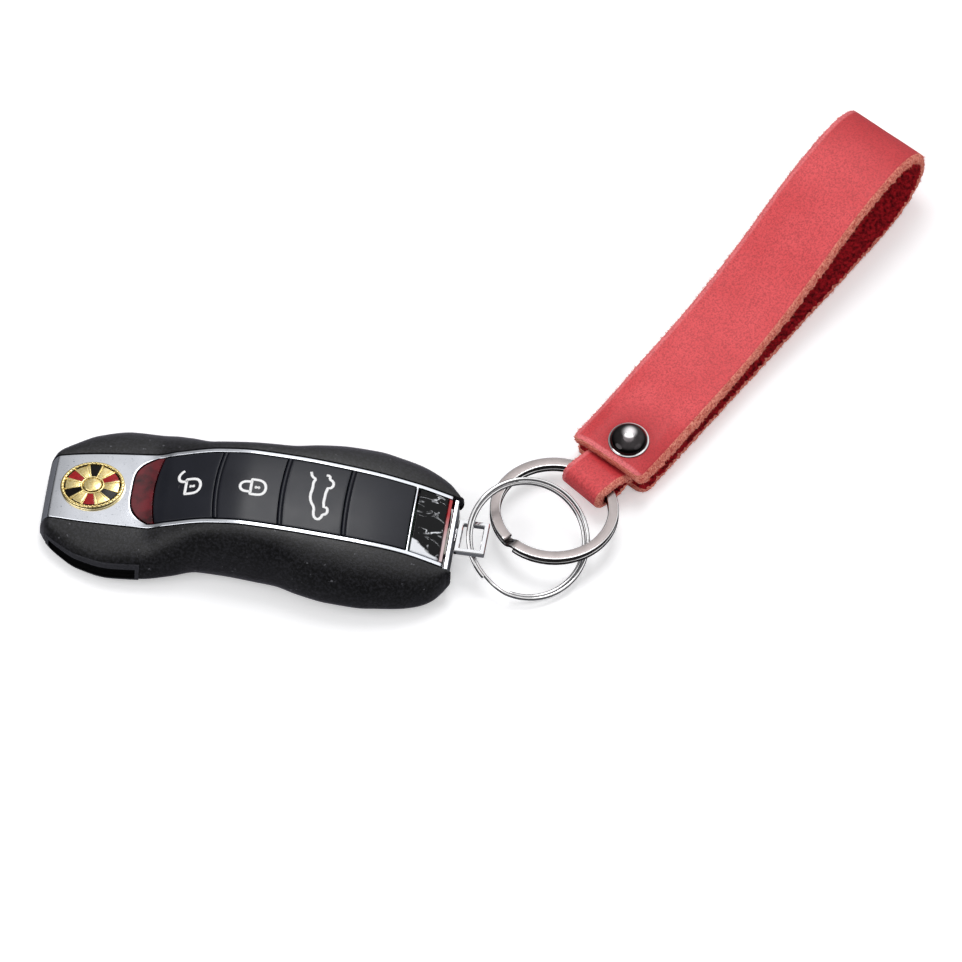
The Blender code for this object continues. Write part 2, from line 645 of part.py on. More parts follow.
# Badge: a gilt oval with an enamel inlay, on the nose plate
BADGE_X_SHARE = -0.7667
BADGE_X = BADGE_X_SHARE * HALF_LENGTH
BADGE_LENGTH = 0.0152
BADGE_ACROSS_SHARE = 0.84
BADGE_THICKNESS = 0.0011
BADGE_RIM = 0.0013
RECESS_DEPTH = 0.0006
INLAY_THICKNESS = 0.00035
badge_slope = math.atan2(roof(BADGE_X + BADGE_LENGTH / 2) - roof(BADGE_X - BADGE_LENGTH / 2),
                         BADGE_LENGTH)
badge_tilt = Matrix.Rotation(-badge_slope, 4, "Y")
badge_base = Vector((BADGE_X, 0, roof(BADGE_X) + SEAM))


def badge_disc(name, radius, base, height, material=None):
    made = disc(name, (0, 0, 0), radius, height, material, BADGE_ACROSS_SHARE, 48)
    made.data.transform(badge_tilt @ Matrix.Translation((0, 0, base + height / 2)))
    made.location = badge_base
    return made


badge_plate = badge_disc("badge_plate", BADGE_LENGTH / 2, 0, BADGE_THICKNESS, GOLD)
recess_floor = BADGE_THICKNESS - RECESS_DEPTH
recess_radius = BADGE_LENGTH / 2 - BADGE_RIM
boolean(badge_plate, badge_disc("badge_recess", recess_radius, recess_floor, OVERRUN))
badge_inlay = badge_disc("badge_inlay", recess_radius - SEAM, recess_floor + SEAM,
                         INLAY_THICKNESS, ENAMEL)


# Rings: wire coiled twice round, with a step where the turns change places
COIL_SEPARATION = 0.00042
SPLIT_RAMP = 0.0008
SPLIT_STEP = math.radians(15)
SPLIT_POINTS = 24
FLAT_STEP = math.radians(7.5)
FLAT_POINTS = 48
FLAT_CHAMFER = 0.00015


def coil(radius, ramp, pitch, step, points_a_turn):
    """Points (angle, radius, height) of two turns: level, one rise, and level again."""
    steps = round((4 * math.pi - 2 * step) / (2 * math.pi / points_a_turn))
    found = []
    for angle in spread(step, 4 * math.pi - step, steps):
        rise = min(max((angle - 2 * math.pi + step) / (2 * step), 0), 1)
        rise = rise * rise * (3 - 2 * rise) - 1 / 2
        found.append((angle, radius + ramp * rise, pitch * rise))
    return found


def tilted(slope_x, slope_y, turn=0.0):
    """A frame whose plane rises by the two slopes, turned about its own axis."""
    up = Vector((-slope_x, -slope_y, 1)).normalized()
    along = Vector((1, 0, slope_x)).normalized()
    across = up.cross(along)
    frame = Matrix((along, across, up)).transposed().to_4x4()
    return frame @ Matrix.Rotation(turn, 4, "Z")


SPLIT_FROM_LUG = (0.01266, 0.00314, -0.00212)
SPLIT_CENTRE = LUG_CENTRE + Vector(SPLIT_FROM_LUG)
SPLIT_SLOPE_SHARES = (-0.254, 0.353)
SPLIT_TURN = math.radians(250)
FLAT_FROM_SPLIT = (0.00485, 0.0092, -0.00114)
FLAT_CENTRE = SPLIT_CENTRE + Vector(FLAT_FROM_SPLIT)
FLAT_SLOPE_SHARES = (0.0, -0.10)
FLAT_TURN = math.radians(232)

split_pitch = math.sqrt((SPLIT_WIRE + COIL_SEPARATION) ** 2 - SPLIT_RAMP ** 2)
split_points = coil(SPLIT_RING_RADIUS, SPLIT_RAMP, split_pitch, SPLIT_STEP, SPLIT_POINTS)
split_curve = bpy.data.curves.new("split_ring", "CURVE")
split_curve.dimensions = "3D"
split_curve.bevel_depth = SPLIT_WIRE / 2
split_curve.bevel_resolution = 1
split_curve.use_fill_caps = True
spline = split_curve.splines.new("POLY")
spline.points.add(len(split_points) - 1)
for point, (angle, radius, height) in zip(spline.points, split_points):
    point.co = (radius * math.cos(angle), radius * math.sin(angle), height, 1)
split_ring = bpy.data.objects.new("split_ring", split_curve)
MODEL.objects.link(split_ring)
split_curve.materials.append(NICKEL)
split_ring.matrix_world = Matrix.Translation(SPLIT_CENTRE) @ tilted(*SPLIT_SLOPE_SHARES, SPLIT_TURN)

flat_radius = (FLAT_RING_OUTSIDE - FLAT_WIRE_WIDTH) / 2
flat_pitch = FLAT_WIRE_THICKNESS + COIL_SEPARATION
flat_points = coil(flat_radius, 0, flat_pitch, FLAT_STEP, FLAT_POINTS)


def flat_section():
    """The flat wire's section, with chamfered corners."""
    wide, high, cut = FLAT_WIRE_WIDTH / 2, FLAT_WIRE_THICKNESS / 2, FLAT_CHAMFER
    return [(wide - cut, -high), (wide, -high + cut), (wide, high - cut), (wide - cut, high),
            (cut - wide, high), (-wide, high - cut), (-wide, cut - high), (cut - wide, -high)]


flat_loops = [[((radius + out) * math.cos(angle), (radius + out) * math.sin(angle), height + up)
               for out, up in flat_section()] for angle, radius, height in flat_points]
flat_ring = shaded_smooth(loft("flat_ring", flat_loops, GUNMETAL))
flat_ring.matrix_world = Matrix.Translation(FLAT_CENTRE) @ tilted(*FLAT_SLOPE_SHARES, FLAT_TURN)


def least_gap(points, thickness):
    """The least gap between turns, measured on points at least half a turn apart."""
    places = [(angle, Vector((radius * math.cos(angle), radius * math.sin(angle), height)))
              for angle, radius, height in points]
    return min((p - q).length for a, p in places for b, q in places
               if b - a > math.pi) - thickness


print("split ring, least gap to itself in mm:", round(least_gap(split_points, SPLIT_WIRE) * 1000, 3))
print("flat ring, least gap to itself in mm:",
      round(least_gap(flat_points, FLAT_WIRE_THICKNESS) * 1000, 3))


# Leather strap: one strip folded into a loop, riveted over a tongue that holds the flat ring
TONGUE_TURN = math.radians(52.9)
STRAP_TURN = math.radians(61.3)
TONGUE_REACH = 0.0104
STRAP_END = 0.0064
STRAP_UNDER_END = 0.0050
STRAP_CORNER = 0.0030
EDGE_ROUND = 0.0003
CORNER_STEPS = 5
PATH_STEPS = 4
LOOP_SHARES = ((0.10, 0), (0.40, 0), (0.70, 0), (0.845, 0.015), (0.925, 0.12), (0.975, 0.35),
               (0.989, 0.60), (0.970, 0.83), (0.93, 0.965), (0.875, 1), (0.79, 0.955),
               (0.71, 0.855), (0.63, 0.715), (0.54, 0.56), (0.45, 0.445), (0.37, 0.375),
               (0.285, 0.335), (0.22, 0.325), (0.16, 0.345), (0.10, 0.359))
stack_lower = STRAP_LEATHER + SEAM + TONGUE_LEATHER / 2
stack_upper = stack_lower + TONGUE_LEATHER + SEAM
stack_top = stack_upper + TONGUE_LEATHER / 2 + SEAM + STRAP_LEATHER / 2
ring_middle = FLAT_CENTRE.copy()
ring_slope = Vector((*FLAT_SLOPE_SHARES, 0))


def outward(turn, reach=1.0):
    return Vector((math.cos(turn), math.sin(turn), 0)) * reach


def ring_plane(place):
    """The height of the flat ring's plane over a place."""
    return ring_middle.z + ring_slope.dot(place - ring_middle)


bar = ring_middle + outward(TONGUE_TURN, flat_radius)
bar.z = ring_plane(bar)
rivet_place = bar + outward(TONGUE_TURN, TONGUE_REACH)
rivet_place.z = 0


def leather_strip(name, path, width, thickness, corner, turn, place, lean=None):
    """A strip with rounded ends, swept along a line of (along, up) points."""
    run_to = [0]
    for a, b in zip(path, path[1:]):
        run_to.append(run_to[-1] + math.dist(a, b))
    rounds = [corner * (1 - math.cos(t)) for t in spread(0, math.pi / 2, CORNER_STEPS)]
    lengths = rounds + [s for s in run_to if corner * 1.2 < s < run_to[-1] - corner * 1.2]
    lengths += [run_to[-1] - s for s in rounds[::-1]]
    line = []
    for s in lengths:
        i = max(k for k in range(len(path) - 1) if s >= run_to[k])
        share = (s - run_to[i]) / (run_to[i + 1] - run_to[i])
        line.append(tuple(a + share * (b - a) for a, b in zip(path[i], path[i + 1])))
    along, across = outward(turn), outward(turn + math.pi / 2)
    loops = []
    for i, (a, z) in enumerate(line):
        before, after = line[max(i - 1, 0)], line[min(i + 1, len(line) - 1)]
        run = math.dist(before, after)
        rise_a, rise_z = -(after[1] - before[1]) / run, (after[0] - before[0]) / run
        short = max(corner - min(lengths[i], lengths[-1] - lengths[i]), 0)
        half = width / 2 - corner + math.sqrt(corner ** 2 - short ** 2)
        high = thickness / 2
        section = [(half - EDGE_ROUND, -high), (half, EDGE_ROUND - high),
                   (half, high - EDGE_ROUND), (half - EDGE_ROUND, high),
                   (EDGE_ROUND - half, high), (-half, high - EDGE_ROUND),
                   (-half, EDGE_ROUND - high), (EDGE_ROUND - half, -high)]
        loop = []
        for side, up in section:
            point = along * (a + rise_a * up) + across * side
            point.z = z + rise_z * up
            if lean:
                point.z += lean(a, place + point)
            loop.append(point)
        loops.append(loop)
    made = loft(name, loops, LEATHER)
    made.location = place
    return shaded_smooth(made)


strap_rest = STRAP_LEATHER / 2
loop_rise = LOOP_HEIGHT - STRAP_LEATHER
strap_line = [(a * STRAP_LENGTH, strap_rest + z * loop_rise) for a, z in LOOP_SHARES]
strap_line = [(-STRAP_UNDER_END, strap_rest), *strap_line, (0, stack_top),
              (-STRAP_END, stack_top + SEAM)]
strap_line = [(a, max(z, strap_rest)) for a, z in curved(strap_line, PATH_STEPS)]
strap = leather_strip("strap", strap_line, STRAP_WIDTH, STRAP_LEATHER, STRAP_CORNER, STRAP_TURN,
                      rivet_place)

# Tongue: its fold lies parallel to the flat ring and closes to a flat stack under the rivet
TONGUE_TAIL = 0.0056
FOLD_GAP = 0.00036
FOLD_FRONT = 0.00445
FOLD_CORNER_SHARES = ((0.92, 0.66), (0.72, 0.94), (0.40, 1.0), (0.0, 1.0))
FOLD_BACK = 0.0015
FOLD_CLOSING = 0.0026
FOLD_CLOSED = 0.0050
fold_half = flat_pitch / 2 + FLAT_WIRE_THICKNESS / 2 + FOLD_GAP + TONGUE_LEATHER / 2
under_ring, over_ring = bar.z - fold_half, bar.z + fold_half


def fold_side(level, stack):
    """One side of the fold, from its front to the flat stack."""
    rounding = [(-FOLD_FRONT * a, bar.z + (level - bar.z) * z) for a, z in FOLD_CORNER_SHARES]
    return rounding + [(FOLD_BACK, level), (FOLD_CLOSING, (level * 2 + stack) / 3),
                       ((FOLD_CLOSING + FOLD_CLOSED) / 2, (level + stack * 5) / 6),
                       (FOLD_CLOSED, stack), (TONGUE_REACH, stack),
                       (TONGUE_REACH + TONGUE_TAIL, stack)]


def with_ring(along, place):
    """The fold's lean: that of the ring under it, fading out towards the stack."""
    fade = min(max((FOLD_CLOSED - along) / (FOLD_CLOSED - FOLD_BACK), 0), 1)
    return (ring_plane(place) - bar.z) * fade


tongue_line = [*fold_side(under_ring, stack_lower)[::-1], (-FOLD_FRONT, bar.z),
               *fold_side(over_ring, stack_upper)]
tongue_place = Vector((bar.x, bar.y, 0))
ring_tongue = leather_strip("ring_tongue", curved(tongue_line, PATH_STEPS), TONGUE_WIDTH,
                            TONGUE_LEATHER, EDGE_ROUND * 2, TONGUE_TURN, tongue_place, with_ring)

# Rivet: a domed cap on a post whose foot is let into the leather underneath
POST_DIAMETER = 0.0030
FOOT_DIAMETER = 0.0070
FOOT_THICKNESS = 0.0006
CAP_HEIGHT = 0.0026
CAP_RIM = 0.0007
DOME_STEPS = 8
RIVET_SIDES = 40
SCREW_SEGMENTS = 48


def turned(name, profile, place, material, group=MODEL):
    """A solid turned about Z from a profile of (radius, height) points on its axis."""
    mesh = bpy.data.meshes.new(name)
    mesh.from_pydata([(r, 0, z) for r, z in profile],
                     [(i, i + 1) for i in range(len(profile) - 1)], [])
    made = new_object(name, mesh, material, group)
    made.location = place
    lathe = made.modifiers.new("turning", "SCREW")
    lathe.steps = lathe.render_steps = SCREW_SEGMENTS
    lathe.use_normal_flip = True
    lathe.use_merge_vertices = True
    lathe.merge_threshold = 0.00001
    return made


cap_base = stack_top + STRAP_LEATHER / 2 + SEAM
cap_half = RIVET_CAP / 2
post_half = POST_DIAMETER / 2
socket_top = cap_base + CAP_RIM
post_top = socket_top - SEAM
dome = [(cap_half * math.cos(t), cap_base + CAP_RIM + (CAP_HEIGHT - CAP_RIM) * math.sin(t))
        for t in spread(0, math.pi / 2, DOME_STEPS)][:-1]
rivet_cap = turned("rivet_cap", [(0, socket_top), (post_half + SEAM, socket_top),
                                 (post_half + SEAM, cap_base), (cap_half - SEAM, cap_base),
                                 (cap_half, cap_base + SEAM), *dome, (0, cap_base + CAP_HEIGHT)],
                   rivet_place, BLACK_NICKEL)
rivet_post = turned("rivet_post", [(0, 0), (FOOT_DIAMETER / 2, 0),
                                   (FOOT_DIAMETER / 2, FOOT_THICKNESS),
                                   (post_half, FOOT_THICKNESS), (post_half, post_top),
                                   (0, post_top)], rivet_place, BLACK_NICKEL)
for leather in (strap, ring_tongue):
    hole = disc("post hole of " + leather.name, rivet_place + Vector((0, 0, cap_base / 2)),
                post_half + SEAM, cap_base + OVERRUN, sides=RIVET_SIDES)
    boolean(leather, hole)
boolean(strap, disc("foot recess", rivet_place, FOOT_DIAMETER / 2 + SEAM,
                    2 * (FOOT_THICKNESS + SEAM), sides=RIVET_SIDES))
for turned_piece in (rivet_cap, rivet_post):
    shaded_smooth(turned_piece)


# Joints: an empty on each axis carries what moves there
def carry(name, place, pieces, under=None):
    pivot = bpy.data.objects.new(name, None)
    MODEL.objects.link(pivot)
    pivot.location = place
    bpy.context.view_layer.update()
    if under:
        pivot.parent = under
        pivot.matrix_parent_inverse = under.matrix_world.inverted()
        bpy.context.view_layer.update()
    for piece in pieces:
        piece.parent = pivot
        piece.matrix_parent_inverse = pivot.matrix_world.inverted()
    return pivot


for button, x in zip((button_unlock, button_lock, button_boot), button_places):
    carry("press " + button.name, (x, 0, roof(x)), [button])
carry("slide cover_left", (0, HALF_STRIP, roof(0)), [cover_left])
carry("slide cover_right", (0, -HALF_STRIP, roof(0)), [cover_right])
carry("lift back_cover", (0, 0, 0), [back_cover])
carry("press release_catch", (CATCH_X, 0, SEAM), [release_catch])
key_pivot = carry("draw emergency_key", (HEAD_FROM, 0, BLADE_BASE), [key_blade, key_head, lug])
lug_pivot = carry("swing split_ring", LUG_CENTRE, [split_ring], key_pivot)
ring_pivot = carry("turn flat_ring", FLAT_CENTRE, [flat_ring], lug_pivot)
carry("lift strap", bar, [strap, ring_tongue, rivet_cap, rivet_post], ring_pivot)
print("rivet at", [round(v * 1000, 2) for v in rivet_place], "ring bar at",
      [round(v * 1000, 2) for v in bar])
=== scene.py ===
"""The looks of a car key in slide-off side covers, with its rings and its leather loop strap."""
import math
import random

import bmesh
import bpy
from mathutils import Matrix, Vector, noise


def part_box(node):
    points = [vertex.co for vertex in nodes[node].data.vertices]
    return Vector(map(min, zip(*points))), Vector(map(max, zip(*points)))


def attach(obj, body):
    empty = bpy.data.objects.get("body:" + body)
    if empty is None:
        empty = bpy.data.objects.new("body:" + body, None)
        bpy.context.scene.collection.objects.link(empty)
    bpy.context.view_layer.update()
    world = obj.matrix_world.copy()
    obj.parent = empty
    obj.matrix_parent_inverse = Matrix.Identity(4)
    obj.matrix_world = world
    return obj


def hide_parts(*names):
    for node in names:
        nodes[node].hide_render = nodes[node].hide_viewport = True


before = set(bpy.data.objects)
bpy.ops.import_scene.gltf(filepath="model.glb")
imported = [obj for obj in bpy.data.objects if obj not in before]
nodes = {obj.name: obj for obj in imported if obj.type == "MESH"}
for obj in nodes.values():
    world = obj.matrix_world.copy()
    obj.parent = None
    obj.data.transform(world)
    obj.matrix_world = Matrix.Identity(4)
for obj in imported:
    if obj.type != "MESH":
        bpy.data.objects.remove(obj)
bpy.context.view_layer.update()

MM = 0.001

# The view: a long lens looks down on the key from in front and a little to its left. Its distance
# gives the picture's scale, and its target puts the origin on a chosen pixel.
IMAGE_PIXELS = 962
SENSOR = 36
LENS = 1200
PIXELS_A_MM = 4.3
VIEW_TURN = math.radians(8.7)
VIEW_TILT = math.radians(58)
ORIGIN_PIXEL = (250, 529)

turn_cos, turn_sin = math.cos(VIEW_TURN), math.sin(VIEW_TURN)
tilt_cos, tilt_sin = math.cos(VIEW_TILT), math.sin(VIEW_TILT)
view_right = Vector((turn_cos, turn_sin, 0))
view_up = Vector((-turn_sin * tilt_sin, turn_cos * tilt_sin, tilt_cos))
view_back = view_right.cross(view_up)
aside = (IMAGE_PIXELS / 2 - ORIGIN_PIXEL[0]) / PIXELS_A_MM * MM
beyond = (ORIGIN_PIXEL[1] - IMAGE_PIXELS / 2) / PIXELS_A_MM / tilt_sin * MM
target = view_right * aside + Vector((-turn_sin, turn_cos, 0)) * beyond


def stand(name, data):
    """Puts new data in the scene as an object."""
    made = bpy.data.objects.new(name, data)
    bpy.context.scene.collection.objects.link(made)
    return made


camera = stand("camera", bpy.data.cameras.new("camera"))
camera.data.lens, camera.data.sensor_width = LENS, SENSOR
camera.matrix_world = Matrix((view_right, view_up, view_back)).transposed().to_4x4()
camera.location = target + view_back * (IMAGE_PIXELS / SENSOR * LENS / PIXELS_A_MM * MM)
bpy.context.scene.camera = camera
bpy.context.scene.view_settings.view_transform = "Standard"


# The room that the metal mirrors is white. It is brightest overhead and behind the key, and dark on
# the camera's side and the left. A large soft box and two fills light the key.
LAMPS = (("soft box", (-0.02, 0.34, 0.83), 0.44, 2.7), ("left fill", (-0.5, -0.3, 0.5), 0.5, 1.3),
         ("right fill", (0.55, -0.15, 0.5), 0.5, 0.5))


def add(tree, kind, inputs=(), **settings):
    """Adds a shader node with its settings. Its inputs, in order or named, get values or links."""
    made = tree.nodes.new("ShaderNode" + kind)
    for name, value in settings.items():
        setattr(made, name, value)
    for name, value in inputs.items() if isinstance(inputs, dict) else enumerate(inputs):
        if isinstance(value, bpy.types.NodeSocket):
            tree.links.new(value, made.inputs[name])
        else:
            made.inputs[name].default_value = value
    return made.outputs


world = bpy.data.worlds.new("white room")
bpy.context.scene.world = world
world.use_nodes = True
room = world.node_tree
room.nodes.clear()
rays = add(room, "LightPath")
seen = add(room, "Math", (rays["Is Camera Ray"], rays["Is Transmission Ray"]),
           operation="MAXIMUM")[0]
sides = add(room, "SeparateXYZ", (add(room, "TexCoord")["Generated"],))
height = add(room, "Math", (sides["Y"], 0.5, sides["Z"]), operation="MULTIPLY_ADD")[0]
wall_share = add(room, "MapRange", (height, 0.22, 0.95, 0.04, 1.3),
                 interpolation_type="SMOOTHSTEP")[0]
leftward = add(room, "Math", (sides["Y"], -0.2, sides["X"]), operation="MULTIPLY_ADD")[0]
left_share = add(room, "MapRange", (leftward, -0.5, -0.26, 0.42, 1.0))[0]
mirrored = add(room, "Math", (wall_share, left_share), operation="MULTIPLY")[0]
room_light = add(room, "Mix", {0: rays["Is Glossy Ray"], 2: 0.5, 3: mirrored})[0]
strength = add(room, "Mix", {0: seen, 2: room_light, 3: 1.0})[0]
glow = add(room, "Background", ((1, 1, 1, 1), strength))[0]
add(room, "OutputWorld", (glow,))

for name, offset, size, power in LAMPS:
    lamp = stand(name, bpy.data.lights.new(name, "AREA"))
    lamp.data.shape = "DISK"
    lamp.data.size, lamp.data.energy = size, power
    lamp.location = target + Vector(offset)
    lamp.rotation_euler = (target - lamp.location).to_track_quat("-Z", "Y").to_euler()


# The key lies on a sweep of white paper that glows faintly towards the camera. In the metal's
# reflections the paper is darker, as if the sweep ended near the key.
SWEEP_HALF = 2.0
SWEEP_DROP = 0.3 * MM


def piece_from(name, points, faces, finish):
    """A smooth piece from points and faces."""
    mesh = bpy.data.meshes.new(name)
    mesh.from_pydata([tuple(p) for p in points], [], faces)
    mesh.validate()
    mesh.materials.append(finish)
    mesh.shade_smooth()
    return stand(name, mesh)


def linear(code):
    """An sRGB hex colour as linear RGBA."""
    shares = [int(code[i:i + 2], 16) / 255 for i in (0, 2, 4)]
    return (*[s / 12.92 if s <= 0.04045 else ((s + 0.055) / 1.055) ** 2.4 for s in shares], 1)


def new_finish(name, colour, roughness, **values):
    """A material, its node tree, its shader with the shader's values, and the place on a piece."""
    made = bpy.data.materials.new(name)
    made.use_nodes = True
    tree = made.node_tree
    shader = tree.nodes["Principled BSDF"]
    shader.inputs["Base Color"].default_value = linear(colour)
    shader.inputs["Roughness"].default_value = roughness
    for label, value in values.items():
        shader.inputs[label.replace("_", " ")].default_value = value
    return made, tree, shader, add(tree, "TexCoord")["Object"]


def surface(tree, shader, tone=None, coats=(), polish=None, relief=None):
    """Lets patterns set a shader's colour, roughness and relief.

    A coat is a colour over the tone, and a row of inputs that map a pattern to the coat's share:
    the pattern, its two limits, and the shares at them. The polish is such a row for the
    roughness. The relief is a pattern, its strength and its depth."""
    tone = tone and linear(tone)
    for coat, *cover in coats:
        share = add(tree, "MapRange", cover)[0]
        tone = add(tree, "Mix", {0: share, 6: tone, 7: linear(coat)}, data_type="RGBA")[2]
    if coats:
        tree.links.new(tone, shader.inputs["Base Color"])
    if polish:
        tree.links.new(add(tree, "MapRange", polish)[0], shader.inputs["Roughness"])
    if relief:
        height, strength, depth = relief
        raised_by = add(tree, "Bump", {"Strength": strength, "Distance": depth, "Height": height})
        tree.links.new(raised_by[0], shader.inputs["Normal"])


sweep_finish, tree, shader, _ = new_finish("white paper sweep", "F4F4F6", 0.9)
paper_rays = add(tree, "LightPath")
surface(tree, shader, "F4F4F6", [("6A6B70", paper_rays["Is Glossy Ray"])])
paper_glow = add(tree, "Emission", ((1, 1, 1, 1), 0.34))[0]
both = add(tree, "AddShader", (shader.outputs[0], paper_glow))[0]
shown = add(tree, "MixShader", (paper_rays["Is Camera Ray"], shader.outputs[0], both))[0]
tree.links.new(shown, tree.nodes["Material Output"].inputs["Surface"])
piece_from("sweep", [(x * SWEEP_HALF, y * SWEEP_HALF, -SWEEP_DROP) for x, y in (
    (-1, -1), (1, -1), (1, 1), (-1, 1))], [(0, 1, 2, 3)], sweep_finish)


# The chassis is a grey tub of glass-filled nylon. It holds the board with its switches, chips and
# antenna above, and the cell, the transponder and the emergency key below. All of it is covered.
# Each row has a finish, its two tones, roughness, grain and pit depth in mm, metallic and nodes.
HIDDEN_PARTS = (
    ("glass-filled nylon", "3A3B3E", "4A4B4F", 0.6, 0.6, 0.02, 0, "chassis"),
    ("green circuit board laminate", "1F5A36", "184A2B", 0.45, 1.2, 0.01, 0, "circuit_board"),
    ("moulded black epoxy", "17181A", "232427", 0.5, 0.3, 0.01, 0, "controller_chip",
     "transponder_chip"),
    ("sintered ferrite", "3B3632", "4A443F", 0.65, 0.25, 0.02, 0, "antenna_core"),
    ("grey switch housing", "8B8D90", "9A9CA0", 0.5, 0.4, 0.01, 0, "switch_unlock",
     "switch_lock", "switch_boot"),
    ("nickel-plated steel can", "C4C5C7", "B4B6B9", 0.28, 0.5, 0.004, 1, "crystal", "coin_cell"),
    ("rolled contact bronze", "B98A4A", "A87A3E", 0.32, 0.4, 0.004, 1, "battery_clip_plus",
     "battery_clip_minus", "catch_spring"))


def modify(piece, kind, **settings):
    step = piece.modifiers.new(kind.lower(), kind)
    for name, value in settings.items():
        setattr(step, name, value)


def dress(name, finish, edge=0.0, sharp=math.radians(40)):
    """Gives a CAD node its finish and, where it shows, small rounded edges."""
    piece = nodes[name]
    piece.data.materials.clear()
    piece.data.materials.append(finish)
    piece.data.polygons.foreach_set("material_index", [0] * len(piece.data.polygons))
    if edge:
        modify(piece, "BEVEL", width=edge, segments=2, limit_method="ANGLE", angle_limit=sharp)
    piece.data.shade_smooth()
    piece.data.set_sharp_from_angle(angle=sharp)


def textured(name, colour, second, roughness, grain, depth, **values):
    """A finish with a fine grain: its colour wanders between two, and its surface is pitted."""
    made, tree, shader, place = new_finish(name, colour, roughness, **values)
    fine = add(tree, "TexNoise", {"Vector": place, "Scale": 1 / grain, "Detail": 4.0})["Fac"]
    surface(tree, shader, colour, [(second, fine, 0.35, 0.65)], relief=(fine, 0.6, depth))
    return made


for name, first, second, roughness, grain, depth, metal, *covered in HIDDEN_PARTS:
    finish = textured(name, first, second, roughness, grain * MM, depth * MM, Metallic=metal)
    for node in covered:
        dress(node, finish)


# The trim frame is one moulding of ABS plated with bright chrome: the nose plate, two slim rails
# and a crossbar. It follows the fob's roof line, which rises in a step behind the window.
HALF_LENGTH = 48 * MM
ROOF_TOP = 19 * MM
STRIP_HALF = 10.4 * MM
COVER_HALF = 20.2 * MM
SEAM = 0.3 * MM
RAIL = 1.0 * MM
TRIM_WALL = 1.2 * MM
CROWN = 0.6 * MM
NOSE_ROUND = 2.5 * MM
NOSE_FOOT = 3.0 * MM
ROOF_SHARES = ((-1, 0.40), (-0.96, 0.44), (-0.78, 0.51), (-0.58, 0.57), (-0.48, 0.60),
               (-0.385, 0.72), (-0.165, 0.94), (0.01, 1), (0.21, 0.985), (0.40, 0.94),
               (0.60, 0.87), (0.79, 0.755), (0.97, 0.565), (1, 0.53))
STRIP_SHARES = ((-1, 0.80), (-0.97, 0.82), (-0.77, 0.92), (-0.58, 0.965), (-0.38, 1),
                (0.2, 1), (0.58, 0.975), (0.79, 0.95), (1, 0.95))
WINDOW_FROM = -27.5 * MM
WINDOW_BULGE = 4.8 * MM
BUTTONS_TO = 37.9 * MM
CROSSBAR = 0.5 * MM
TRIM_END = 46.5 * MM


def spread(first, last, steps):
    return [first + (last - first) * i / steps for i in range(steps + 1)]


def eased(table, place):
    """A smooth curve through (place, value) pairs, without overshoot."""
    places, values = zip(*table)
    place = min(max(place, places[0]), places[-1])
    gaps = [b - a for a, b in zip(places, places[1:])]
    rises = [(b - a) / gap for a, b, gap in zip(values, values[1:], gaps)]
    slopes = [rises[0]] + [0 if a * b <= 0 else 2 * a * b / (a + b)
                           for a, b in zip(rises, rises[1:])] + [rises[-1]]
    i = max(k for k in range(len(gaps)) if place >= places[k])
    t = (place - places[i]) / gaps[i]
    return ((1 + 2 * t) * (1 - t) ** 2 * values[i] + t * (1 - t) ** 2 * gaps[i] * slopes[i]
            + t * t * (3 - 2 * t) * values[i + 1] + t * t * (t - 1) * gaps[i] * slopes[i + 1])


def roof(x):
    """The height of the strip's middle line, which turns down at the nose."""
    height = ROOF_TOP * eased(ROOF_SHARES, x / HALF_LENGTH)
    into_nose = (-HALF_LENGTH + NOSE_ROUND - x) / NOSE_ROUND
    if into_nose > 0:
        height = NOSE_FOOT + (height - NOSE_FOOT) * math.sqrt(max(1 - into_nose ** 2, 0))
    return height


def strip_half(x):
    return STRIP_HALF * eased(STRIP_SHARES, x / HALF_LENGTH)


def strip_top(x, y):
    return roof(x) - CROWN * (y / strip_half(x)) ** 2


def pad_half(x):
    return strip_half(x) - SEAM / 2 - RAIL - SEAM


def window_line(share):
    return WINDOW_FROM + WINDOW_BULGE * share ** 4


def joined(piece, apart=0.001 * MM):
    """Joins points that lie together, and turns every face outwards."""
    working = bmesh.new()
    working.from_mesh(piece.data)
    bmesh.ops.remove_doubles(working, verts=working.verts, dist=apart)
    bmesh.ops.recalc_face_normals(working, faces=working.faces)
    working.to_mesh(piece.data)
    working.free()
    piece.data.shade_smooth()
    return piece


def facing_up(sheet):
    if sum(face.normal.z * face.area for face in sheet.data.polygons) < 0:
        sheet.data.flip_normals()
    return sheet


def soft_edges(piece, width, segments=3, sharp=50):
    modify(piece, "BEVEL", width=width, segments=segments, limit_method="ANGLE",
           angle_limit=math.radians(sharp), harden_normals=False)
    modify(piece, "WEIGHTED_NORMAL", keep_sharp=False, weight=80)
    return piece


def fit(piece, body, slot, *stands_for):
    """Sets a piece on its body and hides the CAD nodes it stands for. slot is not used."""
    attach(piece, body)
    if stands_for:
        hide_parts(*stands_for)


def grid_faces(rows, columns, start=0):
    return [(start + r * columns + c, start + (r + 1) * columns + c,
             start + (r + 1) * columns + c + 1, start + r * columns + c + 1)
            for r in range(rows - 1) for c in range(columns - 1)]


nose_places = [-HALF_LENGTH + NOSE_ROUND * (1 - math.cos(t)) for t in spread(0, math.pi / 2, 14)]
nose_end = nose_places[-1]
window_corner = window_line(1) - SEAM / 2
plate_places = nose_places + spread(nose_end, window_corner, 30)[1:]
bar_places = spread(BUTTONS_TO + SEAM / 2, BUTTONS_TO + SEAM / 2 + CROSSBAR, 2)
rail_places = (plate_places + spread(window_corner, bar_places[0], 84)[1:-1] + bar_places
               + spread(bar_places[-1], TRIM_END, 12)[1:])
trim_points, trim_faces = [], []


